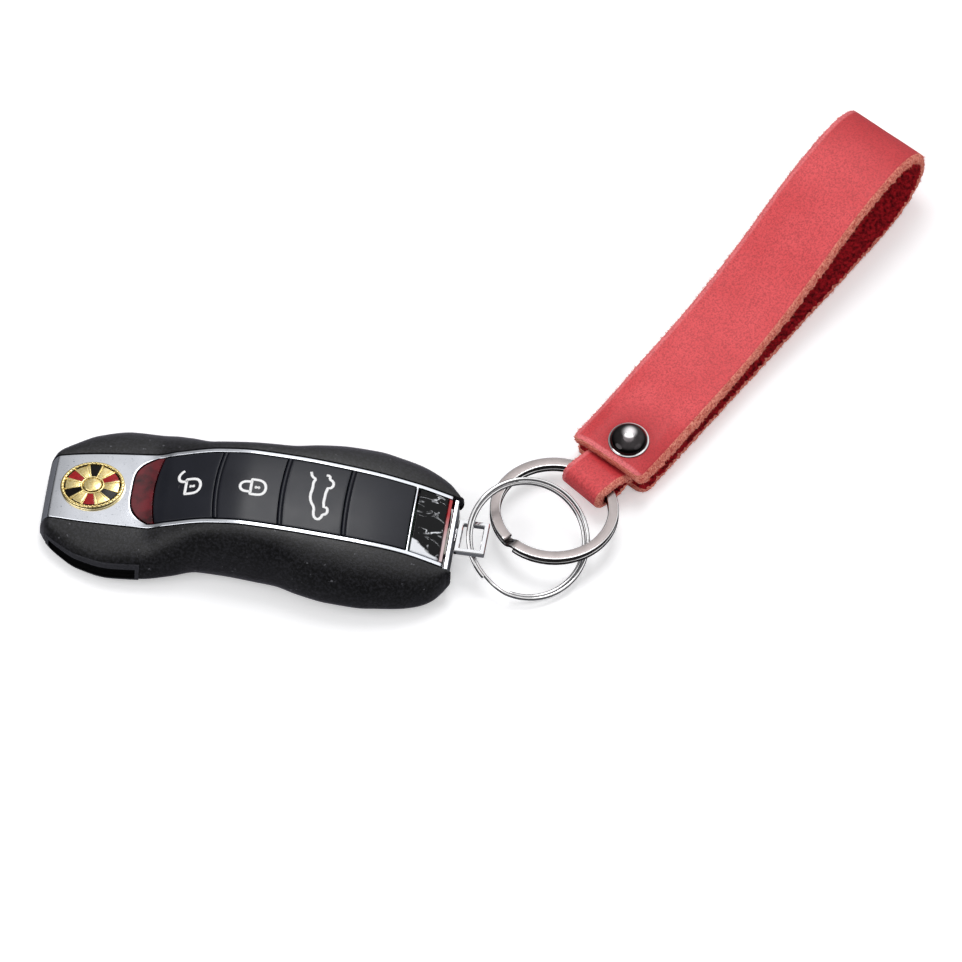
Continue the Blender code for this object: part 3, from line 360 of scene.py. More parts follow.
def add_rows(rows):
    """Adds a grid to the trim from rows of (x, y) places on the strip."""
    trim_faces.extend(grid_faces(len(rows), len(rows[0]), len(trim_points)))
    trim_points.extend((x, y, strip_top(x, y)) for row in rows for x, y in row)


for side in (-1, 1):
    add_rows([[(x, side * (pad_half(x) + SEAM + RAIL * s)) for s in spread(0, 1, 4)[::side]]
              for x in rail_places])
plate_rows = []
for x in plate_places:
    bend = (max(x - nose_end, 0) / (window_corner - nose_end)) ** 2
    plate_rows.append([(x + (window_line(share) - window_line(1)) * bend,
                        share * (pad_half(x) + SEAM)) for share in spread(-1, 1, 28)])
add_rows(plate_rows)
add_rows([[(x, share * (pad_half(x) + SEAM)) for share in spread(-1, 1, 28)] for x in bar_places])

# Handling has hazed the plating, and left pits of about 0.3 mm that catch the light
chromed_abs, tree, shader, place = new_finish("bright chrome on ABS", "E2E3E6", 0.07,
                                              Metallic=1.0)
haze = add(tree, "TexNoise", {"Vector": place, "Scale": 260.0, "Detail": 5.0})["Fac"]
pits = add(tree, "TexNoise", {"Vector": place, "Scale": 1900.0, "Detail": 2.0})["Fac"]
surface(tree, shader, "DEE1E8", [("A6ABB4", pits, 0.64, 0.74)], (haze, 0.3, 0.7, 0.07, 0.2),
        (haze, 0.25, 0.02 * MM))
trim = facing_up(joined(piece_from("trim_frame_chromed", trim_points, trim_faces, chromed_abs)))
modify(trim, "SOLIDIFY", thickness=TRIM_WALL, offset=-1, use_even_offset=True)
fit(soft_edges(trim, 0.22 * MM), "fob", "plated_plastic", "trim_frame")


# The window, the three buttons and the fixed pad fill the trim: curved mouldings with a fine seam
# around each. The window is smoked red acrylic, and the buttons are satin black plastic.
PAD_WALL = 1.2 * MM
PAD_EDGE = 0.2 * MM
WINDOW_WALL = 1.0 * MM
RIB_WIDTH = 0.8 * MM
RIB_RISE = 0.26 * MM
GROOVE_WIDTH = 0.3 * MM
GROOVE_DEPTH = 0.22 * MM
DIVIDERS = [(x * MM, bulge * MM) for x, bulge in ((-22.4, 1.2), (-8.0, 0.8), (7.3, 0.55),
                                                  (22.4, 0.4))]
STEM_RADIUS = 1.5 * MM
BUTTON_TRAVEL = 0.6 * MM


def bowed(place, bulge=0):
    return lambda share: place + bulge * share ** 2


def rib_height(run):
    """The raised rib along a pad's front edge, and the groove behind it."""
    if run < RIB_WIDTH:
        return RIB_RISE * math.sin(math.pi * run / RIB_WIDTH) ** 0.7
    if run < RIB_WIDTH + GROOVE_WIDTH:
        return -GROOVE_DEPTH * math.sin(math.pi * (run - RIB_WIDTH) / GROOVE_WIDTH)
    return 0


def pad_piece(name, start, end, wall, finish, edge=PAD_EDGE, ribbed=False):
    """A curved pad between two lines across the strip."""
    rib_runs = spread(0, RIB_WIDTH + GROOVE_WIDTH, 20) if ribbed else [0]
    places = [(run, 0) for run in rib_runs[:-1]] + [(rib_runs[-1], s) for s in spread(0, 1, 26)]
    points = []
    for run, along in places:
        rise = rib_height(run) if ribbed and along == 0 else 0
        for share in spread(-1, 1, 40):
            first, last = start(share) + SEAM / 2 + run, end(share) - SEAM / 2
            x = first * (1 - along) + last * along
            y = share * pad_half(x)
            points.append((x, y, strip_top(x, y) + rise))
    piece = piece_from(name, points, grid_faces(len(places), 41), finish)
    modify(piece, "SOLIDIFY", thickness=wall, offset=-1)
    return soft_edges(piece, edge)


def ring_faces(rows, count):
    """Faces between rings of points that follow each other."""
    return [(r * count + c, r * count + (c + 1) % count, (r + 1) * count + (c + 1) % count,
             (r + 1) * count + c) for r in range(rows - 1) for c in range(count)]


def lofted(name, rings, finish, closed=True):
    """A solid through rings of points. Its ends are closed, unless the last ring is the first."""
    count = len(rings[0])
    points = [p for ring in rings for p in ring]
    faces = ring_faces(len(rings), count)
    if closed:
        faces += [tuple(range(count - 1, -1, -1)),
                  tuple(range(len(points) - count, len(points)))]
    return joined(piece_from(name, points, faces, finish))


def turned(name, profile, pose, finish, sides=96, across=1.0, ring=False):
    """A solid turned about a pose's Z axis from (radius, height) points, drawn in across it."""
    rings = [[pose @ Vector((r * math.cos(t), r * math.sin(t) * across, z))
              for t in spread(0, 2 * math.pi, sides)[:-1]]
             for r, z in (profile + profile[:1] if ring else profile)]
    return lofted(name, rings, finish, not ring)


button_finish, tree, shader, place = new_finish("satin moulded ABS", "151720", 0.42,
                                                Specular_IOR_Level=0.28)
grain = add(tree, "TexNoise", {"Vector": place, "Scale": 2600.0, "Detail": 3.0})["Fac"]
handled = add(tree, "TexNoise", {"Vector": place, "Scale": 140.0, "Detail": 4.0})["Fac"]
surface(tree, shader, "10121A", [("1A1C26", handled)], (handled, 0.3, 0.7, 0.28, 0.38),
        (grain, 0.5, 0.012 * MM))

lines = [bowed(*divider) for divider in DIVIDERS]
for name, start, end in zip(("unlock", "lock", "boot"), lines, lines[1:]):
    cap = pad_piece("button_cap_" + name, start, end, PAD_WALL, button_finish,
                    ribbed=name != "unlock")
    fit(cap, name + "_button", "button_plastic", "button_" + name)
    # A stem under the cap presses the switch
    stem_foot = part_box("switch_" + name)[1].z + SEAM + BUTTON_TRAVEL
    stem_x = (start(0) + end(0)) / 2
    stem = turned("button_stem_" + name, [(STEM_RADIUS, stem_foot),
                                          (STEM_RADIUS, roof(stem_x) - PAD_WALL / 2)],
                  Matrix.Translation((stem_x, 0, 0)), button_finish, 24)
    fit(soft_edges(stem, 0.1 * MM), name + "_button", "button_plastic")
fit(pad_piece("fixed_pad", lines[3], bowed(BUTTONS_TO), PAD_WALL, button_finish, ribbed=True),
    "fob", "button_plastic", "pad_blank")

smoked_acrylic, tree, shader, place = new_finish("smoked red acrylic", "5A1018", 0.09, IOR=1.49)
clouds = add(tree, "TexNoise", {"Vector": place, "Scale": 300.0, "Detail": 3.0})["Fac"]
surface(tree, shader, "2E040B", [("6A121E", clouds, 0.35, 0.65)])
fit(pad_piece("window_smoked", window_line, lines[0], WINDOW_WALL, smoked_acrylic), "fob",
    "red_acrylic", "window_lens")


# The icons are pad-printed in white ink on the buttons: a padlock opened, a padlock shut, and a
# plain car with its boot open. Each is a thin film that follows the button's curve. Lines are in mm.
INK_HALF_WIDTH = 0.33 * MM
INK_FILM = 0.03 * MM
ICON_PLACES = {"unlock": (-14.9 * MM, -0.3 * MM), "lock": (0.45 * MM, -0.2 * MM),
               "boot": (16.5 * MM, 0.5 * MM)}
OPEN_SHACKLE = ((0.28, 1.55), (-0.93, 1.45), (-1.75, 1.95), (-2.07, 3.0), (-1.6, 4.0),
                (-0.86, 4.55))
SHUT_SHACKLE = ((0.0, 1.35), (-1.4, 1.35), (-2.3, 0.9), (-2.65, 0), (-2.3, -0.9), (-1.4, -1.35),
                (0.0, -1.35))
CAR_LINE = ((-2.9, 5.9), (-2.5, 4.6), (-1.5, 4.1), (-2.0, 3.2), (-1.9, 1.5), (-2.2, -0.6),
            (-1.85, -2.2), (-0.8, -3.6), (-0.8, -5.3), (-0.3, -6.35), (0.6, -6.55),
            (1.15, -5.9), (1.35, -5.1), (2.15, -4.8), (2.4, -3.9), (2.1, -3.0), (1.1, -3.1),
            (1.3, 2.2), (2.2, 2.3), (2.75, 3.2), (2.5, 4.3), (1.6, 4.7), (1.6, 5.7), (0.7, 5.7))
BODY_LINE = ((0.0, -1.95), (0.0, -1.6), (0.0, 1.7), (0.0, 2.05), (0.35, 2.05), (1.9, 2.05),
             (2.9, 1.6), (3.45, 0.6), (3.45, -0.6), (2.9, -1.6), (1.9, -1.95), (0.35, -1.95))
KEYHOLE = ((0.85, 0.25), (1.15, 0.42), (1.5, 0.2), (1.85, 0.42), (2.15, 0.25), (2.15, -0.25),
           (1.85, -0.42), (1.5, -0.2), (1.15, -0.42), (0.85, -0.25))

white_ink = textured("white printing ink", "FFFFFF", "F4F4F7", 0.5, 0.3 * MM, 0.004 * MM)


def print_ink(button, figure, places, faces):
    """Prints a film of ink on a button from (x, y) places."""
    points = [(x, y, strip_top(x, y) + INK_FILM) for x, y in places]
    film = facing_up(joined(piece_from(f"icon_{button}_{figure}", points, faces, white_ink)))
    modify(film, "SOLIDIFY", thickness=1.4 * INK_FILM, offset=-1)
    fit(film, button + "_button", "button_plastic")


for button, figure, line, closed, rounds in (
        ("unlock", "body", BODY_LINE, True, 2), ("unlock", "shackle", OPEN_SHACKLE, False, 3),
        ("lock", "body", BODY_LINE, True, 2), ("lock", "shackle", SHUT_SHACKLE, False, 3),
        ("boot", "car", CAR_LINE, False, 1)):
    # A stroke of even width runs along the line, whose corners are first cut off round by round
    for _ in range(rounds):
        pairs = zip(line, line[1:] + line[:1] if closed else line[1:])
        cut = [tuple(p * (1 - t) + q * t for p, q in zip(a, b))
               for a, b in pairs for t in (0.25, 0.75)]
        line = tuple(cut) if closed else (line[0], *cut[1:-1], line[-1])
    count = len(line)
    places = []
    for k, (x, y) in enumerate(line):
        before = line[(k - 1) % count] if closed else line[max(k - 1, 0)]
        after = line[(k + 1) % count] if closed else line[min(k + 1, count - 1)]
        run = (Vector(after) - Vector(before)).normalized()
        for side in (-INK_HALF_WIDTH, 0, INK_HALF_WIDTH):
            places.append((ICON_PLACES[button][0] + x * MM - run.y * side,
                           ICON_PLACES[button][1] + y * MM + run.x * side))
    faces = []
    for k in range(count if closed else count - 1):
        a, b = 3 * k, 3 * ((k + 1) % count)
        faces += [(a, b, b + 1, a + 1), (a + 1, b + 1, b + 2, a + 2)]
    print_ink(button, figure, places, faces)
for button in ("unlock", "lock"):
    icon_x, icon_y = ICON_PLACES[button]
    print_ink(button, "keyhole", [(icon_x + x * MM, icon_y + y * MM) for x, y in KEYHOLE],
              [tuple(range(len(KEYHOLE)))])


# The rear cap is piano-black acrylic. Its white streaks are partly scratches of pocket wear and
# partly painted reflection, and one front corner is white. Behind it runs a slim strip of red
# acrylic, which turns white towards its near end.
CAP_FROM = BUTTONS_TO + CROSSBAR + 1.5 * SEAM
CAP_END = 45.7 * MM
CAP_WALL = 0.7 * MM
CAP_EDGE = 0.18 * MM
TAIL_WALL = 1.0 * MM
TAIL_LENGTH = 0.6 * MM
TAIL_EDGE = 0.1 * MM
STREAK_TURN = math.radians(40)
CORNER_ALONG = 6.8 * MM
CORNER_ACROSS = 4.2 * MM
CORNER_RAGGED = 1.6
CORNER_FROM, CORNER_TO = 1.68, 1.82
piano_black, tree, shader, place = new_finish("piano-black acrylic", "060709", 0.05, IOR=1.49,
                                              Specular_IOR_Level=0.15)
# The white streaks along slanted veins are partly scratches and partly painted reflection.
slanting = add(tree, "Mapping", {"Vector": place, "Rotation": (0, 0, STREAK_TURN),
                                 "Scale": (0.45, 1.0, 1.0)})[0]
veins = add(tree, "TexNoise", {"Vector": slanting, "Scale": 300.0, "Detail": 5.0,
                               "Distortion": 0.8})["Fac"]
off_vein = add(tree, "Math", (veins, 0.5), operation="SUBTRACT")[0]
from_vein = add(tree, "Math", (off_vein,), operation="ABSOLUTE")[0]
scratch_and_reflection = add(tree, "MapRange", (from_vein, 0.003, 0.02, 1.0, 0.0))[0]
broad = add(tree, "TexNoise", {"Vector": place, "Scale": 330.0, "Detail": 3.0})["Fac"]
handled = add(tree, "MapRange", (broad, 0.42, 0.6))[0]
scratches_and_reflections = add(tree, "Math", (scratch_and_reflection, handled), operation="MULTIPLY")[0]
corner_place = add(tree, "VectorMath", (place, (1 / CORNER_ALONG, 1 / CORNER_ACROSS, 0)),
                 operation="DOT_PRODUCT")["Value"]
corner_line = add(tree, "Math", (veins, CORNER_RAGGED, corner_place), operation="MULTIPLY_ADD")[0]
# The white corner ends at a ragged line that slants across the cap's near front corner
at_corner = CAP_FROM / CORNER_ALONG - pad_half(CAP_FROM) / CORNER_ACROSS
white_corner = add(tree, "MapRange", (corner_line, at_corner + CORNER_FROM, at_corner + CORNER_TO, 1.0, 0.0))[0]
white_marks = add(tree, "Math", (scratches_and_reflections, white_corner), operation="MAXIMUM")[0]
surface(tree, shader, "060709", [("F0F3F8", white_marks)], (white_marks, 0.0, 1.0, 0.05, 0.4))
fit(pad_piece("rear_cap_gloss", bowed(CAP_FROM), bowed(CAP_END), CAP_WALL, piano_black, CAP_EDGE),
    "fob", "gloss_plastic", "rear_cap")
red_acrylic, tree, shader, place = new_finish("red acrylic paling at its near end", "B82C32", 0.15, IOR=1.49)
# The strip turns white towards its near end.
across = add(tree, "SeparateXYZ", (place,))["Y"]
surface(tree, shader, "B82C32", [("DCD0D2", across, -0.003, 0.004, 0.8, 0.0)])
fit(pad_piece("tail_strip", bowed(CAP_END), bowed(CAP_END + TAIL_LENGTH + SEAM), TAIL_WALL,
              red_acrylic, TAIL_EDGE), "fob", "red_acrylic", "tail_lens")


# The badge is a struck oval of gilt brass with a plain rosette. Its beaded rim, its ribs and its
# boss stand over the cells, which are red enamel, gilt, black enamel and gilt by turns.
BADGE_X = -36.8 * MM
BADGE_HALF = 7.6 * MM
BADGE_ACROSS = 0.84
BADGE_HEIGHT = 1.1 * MM
BADGE_FLOOR = 0.55 * MM
ENAMEL_TOP = 0.9 * MM
RIM = 0.95 * MM
CELLS = 12
BEADS = 44
slope = math.atan2(roof(BADGE_X + BADGE_HALF) - roof(BADGE_X - BADGE_HALF), 2 * BADGE_HALF)
badge_place = (Matrix.Translation((BADGE_X, 0, roof(BADGE_X) - SEAM))
               @ Matrix.Rotation(-slope, 4, "Y"))


def raised(name, outline, low, high, finish):
    """A raised figure on the badge, with a bevelled top, from (x, y) points."""
    centre = sum((Vector(p) for p in outline), Vector((0, 0))) / len(outline)
    rings = []
    for z, size in ((low, 1.0), (high - 0.08 * MM, 1.0), (high, 0.86)):
        flat = [centre + (Vector(p) - centre) * size for p in outline]
        rings.append([badge_place @ Vector((x, y * BADGE_ACROSS, z)) for x, y in flat])
    return lofted(name, rings, finish)


def struck(name, profile, finish, slot, *stands_for, sides=96, ring=False):
    """A turned piece of the badge, drawn in to its oval."""
    fit(turned(name, profile, badge_place, finish, sides, BADGE_ACROSS, ring), "fob", slot,
        *stands_for)


gilt = textured("polished gilt brass", "F0DFA6", "D9C07C", 0.22, 0.5 * MM, 0.01 * MM,
                Metallic=1.0)
red_enamel = textured("fired red enamel", "A81C20", "90161B", 0.14, 0.8 * MM, 0.003 * MM,
                      Specular_IOR_Level=0.25)
black_enamel = textured("fired black enamel", "0C0A09", "171310", 0.15, 0.8 * MM, 0.003 * MM,
                        Specular_IOR_Level=0.12)
inner = BADGE_HALF - RIM
enamel_half = inner - 0.08 * MM
struck("badge_plate_struck", [
    (BADGE_HALF - 0.1 * MM, 0), (BADGE_HALF, 0.12 * MM), (BADGE_HALF, BADGE_HEIGHT - 0.3 * MM),
    (BADGE_HALF - 0.12 * MM, BADGE_HEIGHT - 0.08 * MM), (BADGE_HALF - 0.35 * MM, BADGE_HEIGHT),
    (inner + 0.3 * MM, BADGE_HEIGHT), (inner + 0.1 * MM, BADGE_HEIGHT - 0.1 * MM),
    (inner, BADGE_FLOOR + 0.1 * MM), (inner - 0.05 * MM, BADGE_FLOOR)],
    gilt, "gilt_metal", "badge_plate")
struck("badge_enamel_black", [
    (enamel_half, BADGE_FLOOR), (enamel_half, ENAMEL_TOP - 0.06 * MM),
    (enamel_half - 0.15 * MM, ENAMEL_TOP), (0.2 * MM, ENAMEL_TOP)],
    black_enamel, "enamel", "badge_inlay")


def sector(first, last, near, far):
    """The outline of a cell between two turns and two shares of the enamel's radius."""
    return [(enamel_half * reach * math.cos(t), enamel_half * reach * math.sin(t))
            for reach, turns in ((far, spread(first, last, 6)), (near, spread(last, first, 4)))
            for t in turns]


for k in range(CELLS):
    start_turn, end_turn = [(k + share) * 2 * math.pi / CELLS for share in (0.5, 1.5)]
    rib_half = 0.035 + 0.02 * (k % 2)
    fit(raised(f"badge_rib_{k}", sector(start_turn - rib_half, start_turn + rib_half, 0.34, 1),
               BADGE_FLOOR, BADGE_HEIGHT - 0.05 * MM, gilt), "fob", "gilt_metal")
    if k % 4 != 2:
        cell_finish, slot = (red_enamel, "enamel") if k % 4 == 0 else (gilt, "gilt_metal")
        fit(raised(f"badge_cell_{k}", sector(start_turn, end_turn, 0.36, 0.99), BADGE_FLOOR,
                   ENAMEL_TOP + 0.03 * MM, cell_finish), "fob", slot)
collar_in, collar_middle, collar_out = [enamel_half * 0.40 + w * MM for w in (-0.22, 0, 0.22)]
struck("badge_collar", [
    (collar_in, BADGE_FLOOR), (collar_out, BADGE_FLOOR), (collar_out, BADGE_HEIGHT - 0.1 * MM),
    (collar_middle, BADGE_HEIGHT - 0.02 * MM), (collar_in, BADGE_HEIGHT - 0.1 * MM)],
    gilt, "gilt_metal", ring=True)
struck("badge_boss", [
    (enamel_half * 0.34, ENAMEL_TOP), (enamel_half * 0.34, BADGE_HEIGHT - 0.05 * MM),
    (enamel_half * 0.28, BADGE_HEIGHT + 0.06 * MM), (enamel_half * 0.15, BADGE_HEIGHT + 0.16 * MM),
    (0.1 * MM, BADGE_HEIGHT + 0.2 * MM)], gilt, "gilt_metal", sides=64)
bead_ring = BADGE_HALF - 0.55 * RIM
for k in range(BEADS):
    turn = 2 * math.pi * k / BEADS
    bead_at = badge_place @ Matrix.Translation((
        bead_ring * math.cos(turn), bead_ring * math.sin(turn) * BADGE_ACROSS,
        BADGE_HEIGHT - 0.02 * MM))
    bead_profile = [(r * MM, z * MM) for r, z in ((0.27, 0), (0.25, 0.1), (0.17, 0.19),
                                                  (0.05, 0.23))]
    fit(turned(f"badge_bead_{k}", bead_profile, bead_at, gilt, 12), "fob", "gilt_metal")


# The side covers are ABS shells with a soft-touch black coat, which slide off sideways. Their
# bulging sides run from the strip's edge round to the flat back. One has a slot near its nose.
COVER_WALL = 1.4 * MM
UNDERSIDE = 0.35
COVER_SHARES = ((-1, 0.43), (-0.97, 0.56), (-0.885, 0.735), (-0.79, 0.87), (-0.625, 0.96),
                (-0.46, 0.94), (-0.33, 0.87), (-0.21, 0.775), (-0.08, 0.785), (0.08, 0.82),
                (0.17, 0.84), (0.29, 0.925), (0.44, 0.99), (0.58, 1), (0.69, 0.965),
                (0.79, 0.92), (0.875, 0.845), (0.94, 0.75), (0.98, 0.64), (1, 0.57))
EQUATOR_SHARES = ((-1, 0.30), (-0.9, 0.22), (-0.5, 0.28), (-0.1, 0.32), (1, 0.32))
COVER_TAIL = 0.8 * MM
TAIL_ROUND = 1.3 * MM
TAIL_RUN = 8.0 * MM
TAIL_LIFT = 5.0 * MM
SLOT_FROM = -45.3 * MM
SLOT_TO = -24.0 * MM
SLOT_SHARES = (0.38, 0.495)
SLOT_DEPTH = 1.0 * MM
SLOT_FRAME = 0.9 * MM
SLOT_FRAME_SHARE = 0.05
SLOT_FRAME_RISE = 0.34 * MM
SLOT_FRAME_SINK = 0.3 * MM


def cover_arc(x, inset, steps, first=0.0, last=1.0):
    """A cover's section, from the strip's edge (0) round to the underside (1)."""
    inner_y = strip_half(x) + SEAM / 2
    outer_y = COVER_HALF * eased(COVER_SHARES, x / HALF_LENGTH)
    under_y = strip_half(x) + UNDERSIDE * (outer_y - strip_half(x)) + SEAM / 2
    equator = roof(x) * eased(EQUATOR_SHARES, x / HALF_LENGTH)
    top = strip_top(x, strip_half(x))
    to_tail = min(max((x - HALF_LENGTH - COVER_TAIL) / TAIL_RUN + 1, 0), 1)
    lift = TAIL_LIFT * (1 - math.sqrt(1 - to_tail ** 2))
    found = []
    for share in spread(first, last, steps):
        turn = share * math.pi
        base, rise = (inner_y, top - equator) if share <= 0.5 else (under_y, equator - SEAM)
        reach = outer_y - base
        y = base + max(reach - inset, UNDERSIDE * reach) * math.sin(turn)
        z = equator + max(rise - inset, UNDERSIDE * rise) * math.cos(turn)
        found.append((x, y, z + lift * (top - z) / top))
    return found


def cover_solid(name, places, inset, outset, side, finish, steps, first=0.0, last=1.0):
    """A wall between two surfaces of the cover, whose outer rear edge is rounded."""
    points = []
    for x in places:
        into_tail = max(x - HALF_LENGTH - COVER_TAIL + TAIL_ROUND, 0)
        drawn_in = TAIL_ROUND - math.sqrt(TAIL_ROUND ** 2 - into_tail ** 2)
        arc = cover_arc(x, drawn_in - outset, steps, first, last)
        arc += cover_arc(x, inset, steps, first, last)[::-1]
        points += [(px, side * py, pz) for px, py, pz in arc]
    count = 2 * (steps + 1)
    faces = ring_faces(len(places), count)
    for start in (0, len(points) - count):
        faces += [(start + c, start + c + 1, start + count - 2 - c, start + count - 1 - c)
                  for c in range(steps)]
    return joined(piece_from(name, points, faces, finish))


soft_touch, tree, shader, place = new_finish(
    "soft-touch black coat", "101014", 0.5, Specular_IOR_Level=0.42, Sheen_Weight=0.25,
    Sheen_Roughness=0.35, Sheen_Tint=linear("EFEAFF"))
# The coat's grain is about 0.2 mm on the real covers and is drawn at 0.6 mm, so that it shows
pebbles = add(tree, "TexNoise", {"Vector": place, "Scale": 1600.0, "Detail": 3.0,
                                 "Roughness": 0.7})["Fac"]
wear = add(tree, "TexNoise", {"Vector": place, "Scale": 110.0, "Detail": 5.0})["Fac"]
# Pale grey specks are partly dust and partly painted glints off the coat's grain.
dust_and_glints = add(tree, "TexNoise", {"Vector": place, "Scale": 900.0, "Detail": 1.0})["Fac"]
surface(tree, shader, "020203", [
    ("1E1E23", pebbles, 0.45, 0.6), ("6A6A70", dust_and_glints, 0.73, 0.78, 0.0, 0.6)],
    (wear, 0.3, 0.7, 0.4, 0.54), (pebbles, 1.0, 0.08 * MM))
# The frame round the slot is a satin moulding; its grey, lighter than the coat, is a painted
# highlight along its ridge.
frame_satin_highlit = textured("satin black plastic round the slot", "26262B", "303036", 0.36, 0.5 * MM,
                       0.01 * MM)
# The slot's floor is near-black and dull as painted shade, so that it reads as a deep opening.
slot_shade_black = textured("black plastic painted as shade in the slot", "060607", "0A0A0C", 0.8, 0.5 * MM,
                      0.01 * MM, Specular_IOR_Level=0.1)


def cut_away(piece, cutter):
    """Cuts a piece by another for good. The cut faces take the cutter's finish."""
    modify(piece, "BOOLEAN", operation="DIFFERENCE", object=cutter, solver="EXACT",
           material_mode="TRANSFER")
    bpy.context.view_layer.update()
    seen_by = bpy.context.evaluated_depsgraph_get()
    cut = bpy.data.meshes.new_from_object(piece.evaluated_get(seen_by))
    piece.modifiers.clear()
    piece.data = cut


cover_middle, cover_reach = COVER_TAIL / 2, HALF_LENGTH + COVER_TAIL / 2
cover_places = [cover_middle - cover_reach * math.cos(t) for t in spread(0, math.pi, 140)]
for name, body, side in (("cover_left", "left_cover", 1), ("cover_right", "right_cover", -1)):
    shell = cover_solid(name + "_shell", cover_places, COVER_WALL, 0, side, soft_touch, 30)
    if side < 0:
        slot_first, slot_last = SLOT_SHARES
        cutter = cover_solid("slot_cutter", spread(SLOT_FROM, SLOT_TO, 24), SLOT_DEPTH, 4 * MM,
                             side, slot_shade_black, 8, slot_first, slot_last)
        slot_frame = cover_solid(
            "slot_frame", spread(SLOT_FROM - SLOT_FRAME, SLOT_TO + SLOT_FRAME, 30),
            SLOT_FRAME_SINK, SLOT_FRAME_RISE, side, frame_satin_highlit, 12,
            slot_first - SLOT_FRAME_SHARE, slot_last + SLOT_FRAME_SHARE)
        for whole in (shell, slot_frame):
            cut_away(whole, cutter)
        bpy.data.objects.remove(cutter, do_unlink=True)
        fit(soft_edges(slot_frame, 0.14 * MM, 2), body, "cover_plastic")
    fit(soft_edges(shell, 0.16 * MM, 2, 55), body, "cover_plastic", name)


# The back cover is a flat panel moulded in dull black plastic, which the fob rests on. The catch in
# its window, of the same plastic, is pushed to free the emergency key.
back_finish = textured("moulded black back panel", "1B1B1E", "252528", 0.5, 0.5 * MM, 0.02 * MM)
dress("back_cover", back_finish, 0.3 * MM)
dress("release_catch", back_finish, 0.2 * MM)


# The emergency key: a milled steel blade, a chromed head that closes the fob's rear end, and a cast
# zinc lug, plated bright, that stands out from it as a frame.
milled_steel = textured("milled key steel", "B9B8B2", "A6A59F", 0.3, 0.3 * MM, 0.006 * MM,
                        Metallic=1.0)
chromed_zinc, tree, shader, place = new_finish("bright chrome on cast zinc", "DCDDE0", 0.08,
                                               Metallic=1.0)
cast = add(tree, "TexNoise", {"Vector": place, "Scale": 900.0, "Detail": 3.0})["Fac"]
surface(tree, shader, polish=(cast, 0.35, 0.7, 0.06, 0.22), relief=(cast, 0.4, 0.02 * MM))
dress("key_blade", milled_steel, 0.15 * MM)
dress("key_head", chromed_abs, 0.3 * MM)
dress("lug", chromed_zinc, 0.28 * MM)


# The split ring is round spring wire, bright nickel, coiled twice with a small step where the
# turns change places. It threads the lug and the flat ring.
SPLIT_RADIUS = 13.76 * MM
SPLIT_WIRE = 0.9 * MM
SPLIT_RAMP = 0.8 * MM
COIL_GAP = 0.42 * MM
SPLIT_STEP = math.radians(15)
SPLIT_CENTRE = (64.86 * MM, 2.84 * MM, 6.79 * MM)
SPLIT_SLOPES = (-0.254, 0.353)
SPLIT_TURN = math.radians(250)


def tilted(place, slope_x, slope_y, turn):
    """A frame at a place whose plane rises by two slopes, turned about its own axis."""
    up = Vector((-slope_x, -slope_y, 1)).normalized()
    along = Vector((1, 0, slope_x)).normalized()
    plane = Matrix((along, up.cross(along), up)).transposed().to_4x4()
    return Matrix.Translation(place) @ plane @ Matrix.Rotation(turn, 4, "Z")


def eased_step(value, first, last):
    share = min(max((value - first) / (last - first), 0), 1)
    return share * share * (3 - 2 * share)


def coiled(name, section, radius, ramp, pitch, step, pose, finish):
    """Wire of a given section coiled twice, level but for one step, with softened ends."""
    rings = []
    for angle in spread(step, 4 * math.pi - step, 224):
        rise = eased_step(angle, 2 * math.pi - step, 2 * math.pi + step) - 0.5
        rings.append([pose @ Vector(((radius + ramp * rise + out) * math.cos(angle),
                                     (radius + ramp * rise + out) * math.sin(angle),
                                     pitch * rise + up)) for out, up in section])
    return soft_edges(lofted(name, rings, finish), 0.1 * MM, 2, 60)


bright_nickel_and_highlight, tree, shader, place = new_finish("bright nickel on spring wire", "D2CFC8", 0.14,
                                                Metallic=1.0)
drawn = add(tree, "TexNoise", {"Vector": place, "Scale": 700.0, "Detail": 4.0})["Fac"]
surface(tree, shader, "E4E4E6", [("BBB9B9", drawn)], (drawn, 0.3, 0.7, 0.06, 0.16))
round_section = [(SPLIT_WIRE / 2 * math.cos(t), SPLIT_WIRE / 2 * math.sin(t))
                 for t in spread(0, 2 * math.pi, 16)[:-1]]
split_pitch = math.sqrt((SPLIT_WIRE + COIL_GAP) ** 2 - SPLIT_RAMP ** 2)
split = coiled("split_ring_wire", round_section, SPLIT_RADIUS, SPLIT_RAMP, split_pitch, SPLIT_STEP,
               tilted(SPLIT_CENTRE, *SPLIT_SLOPES, SPLIT_TURN), bright_nickel_and_highlight)
fit(split, "thin_ring", "nickel_wire", "split_ring")


# The flat ring is flat spring wire coiled twice and plated black nickel, its two faces ground back
# to a grey satin. Its edges are darker as painted shade, and its corners a bright line as a painted
# highlight, sorted by how far their faces turn from the ring's axis.
FLAT_RADIUS = 13.75 * MM
FLAT_WIDE = 2.5 * MM
FLAT_THICK = 0.95 * MM
FLAT_CHAMFER = 0.26 * MM
FLAT_STEP = math.radians(5.5)
FLAT_CENTRE = (69.71 * MM, 12.04 * MM, 5.65 * MM)
FLAT_SLOPES = (0.0, -0.10)
FLAT_TURN = math.radians(232)
EDGE_UPRIGHT, CORNER_UPRIGHT = 0.6, 0.96
ground_nickel, tree, shader, place = new_finish("ground nickel face", "8E8887", 0.3, Metallic=1.0)
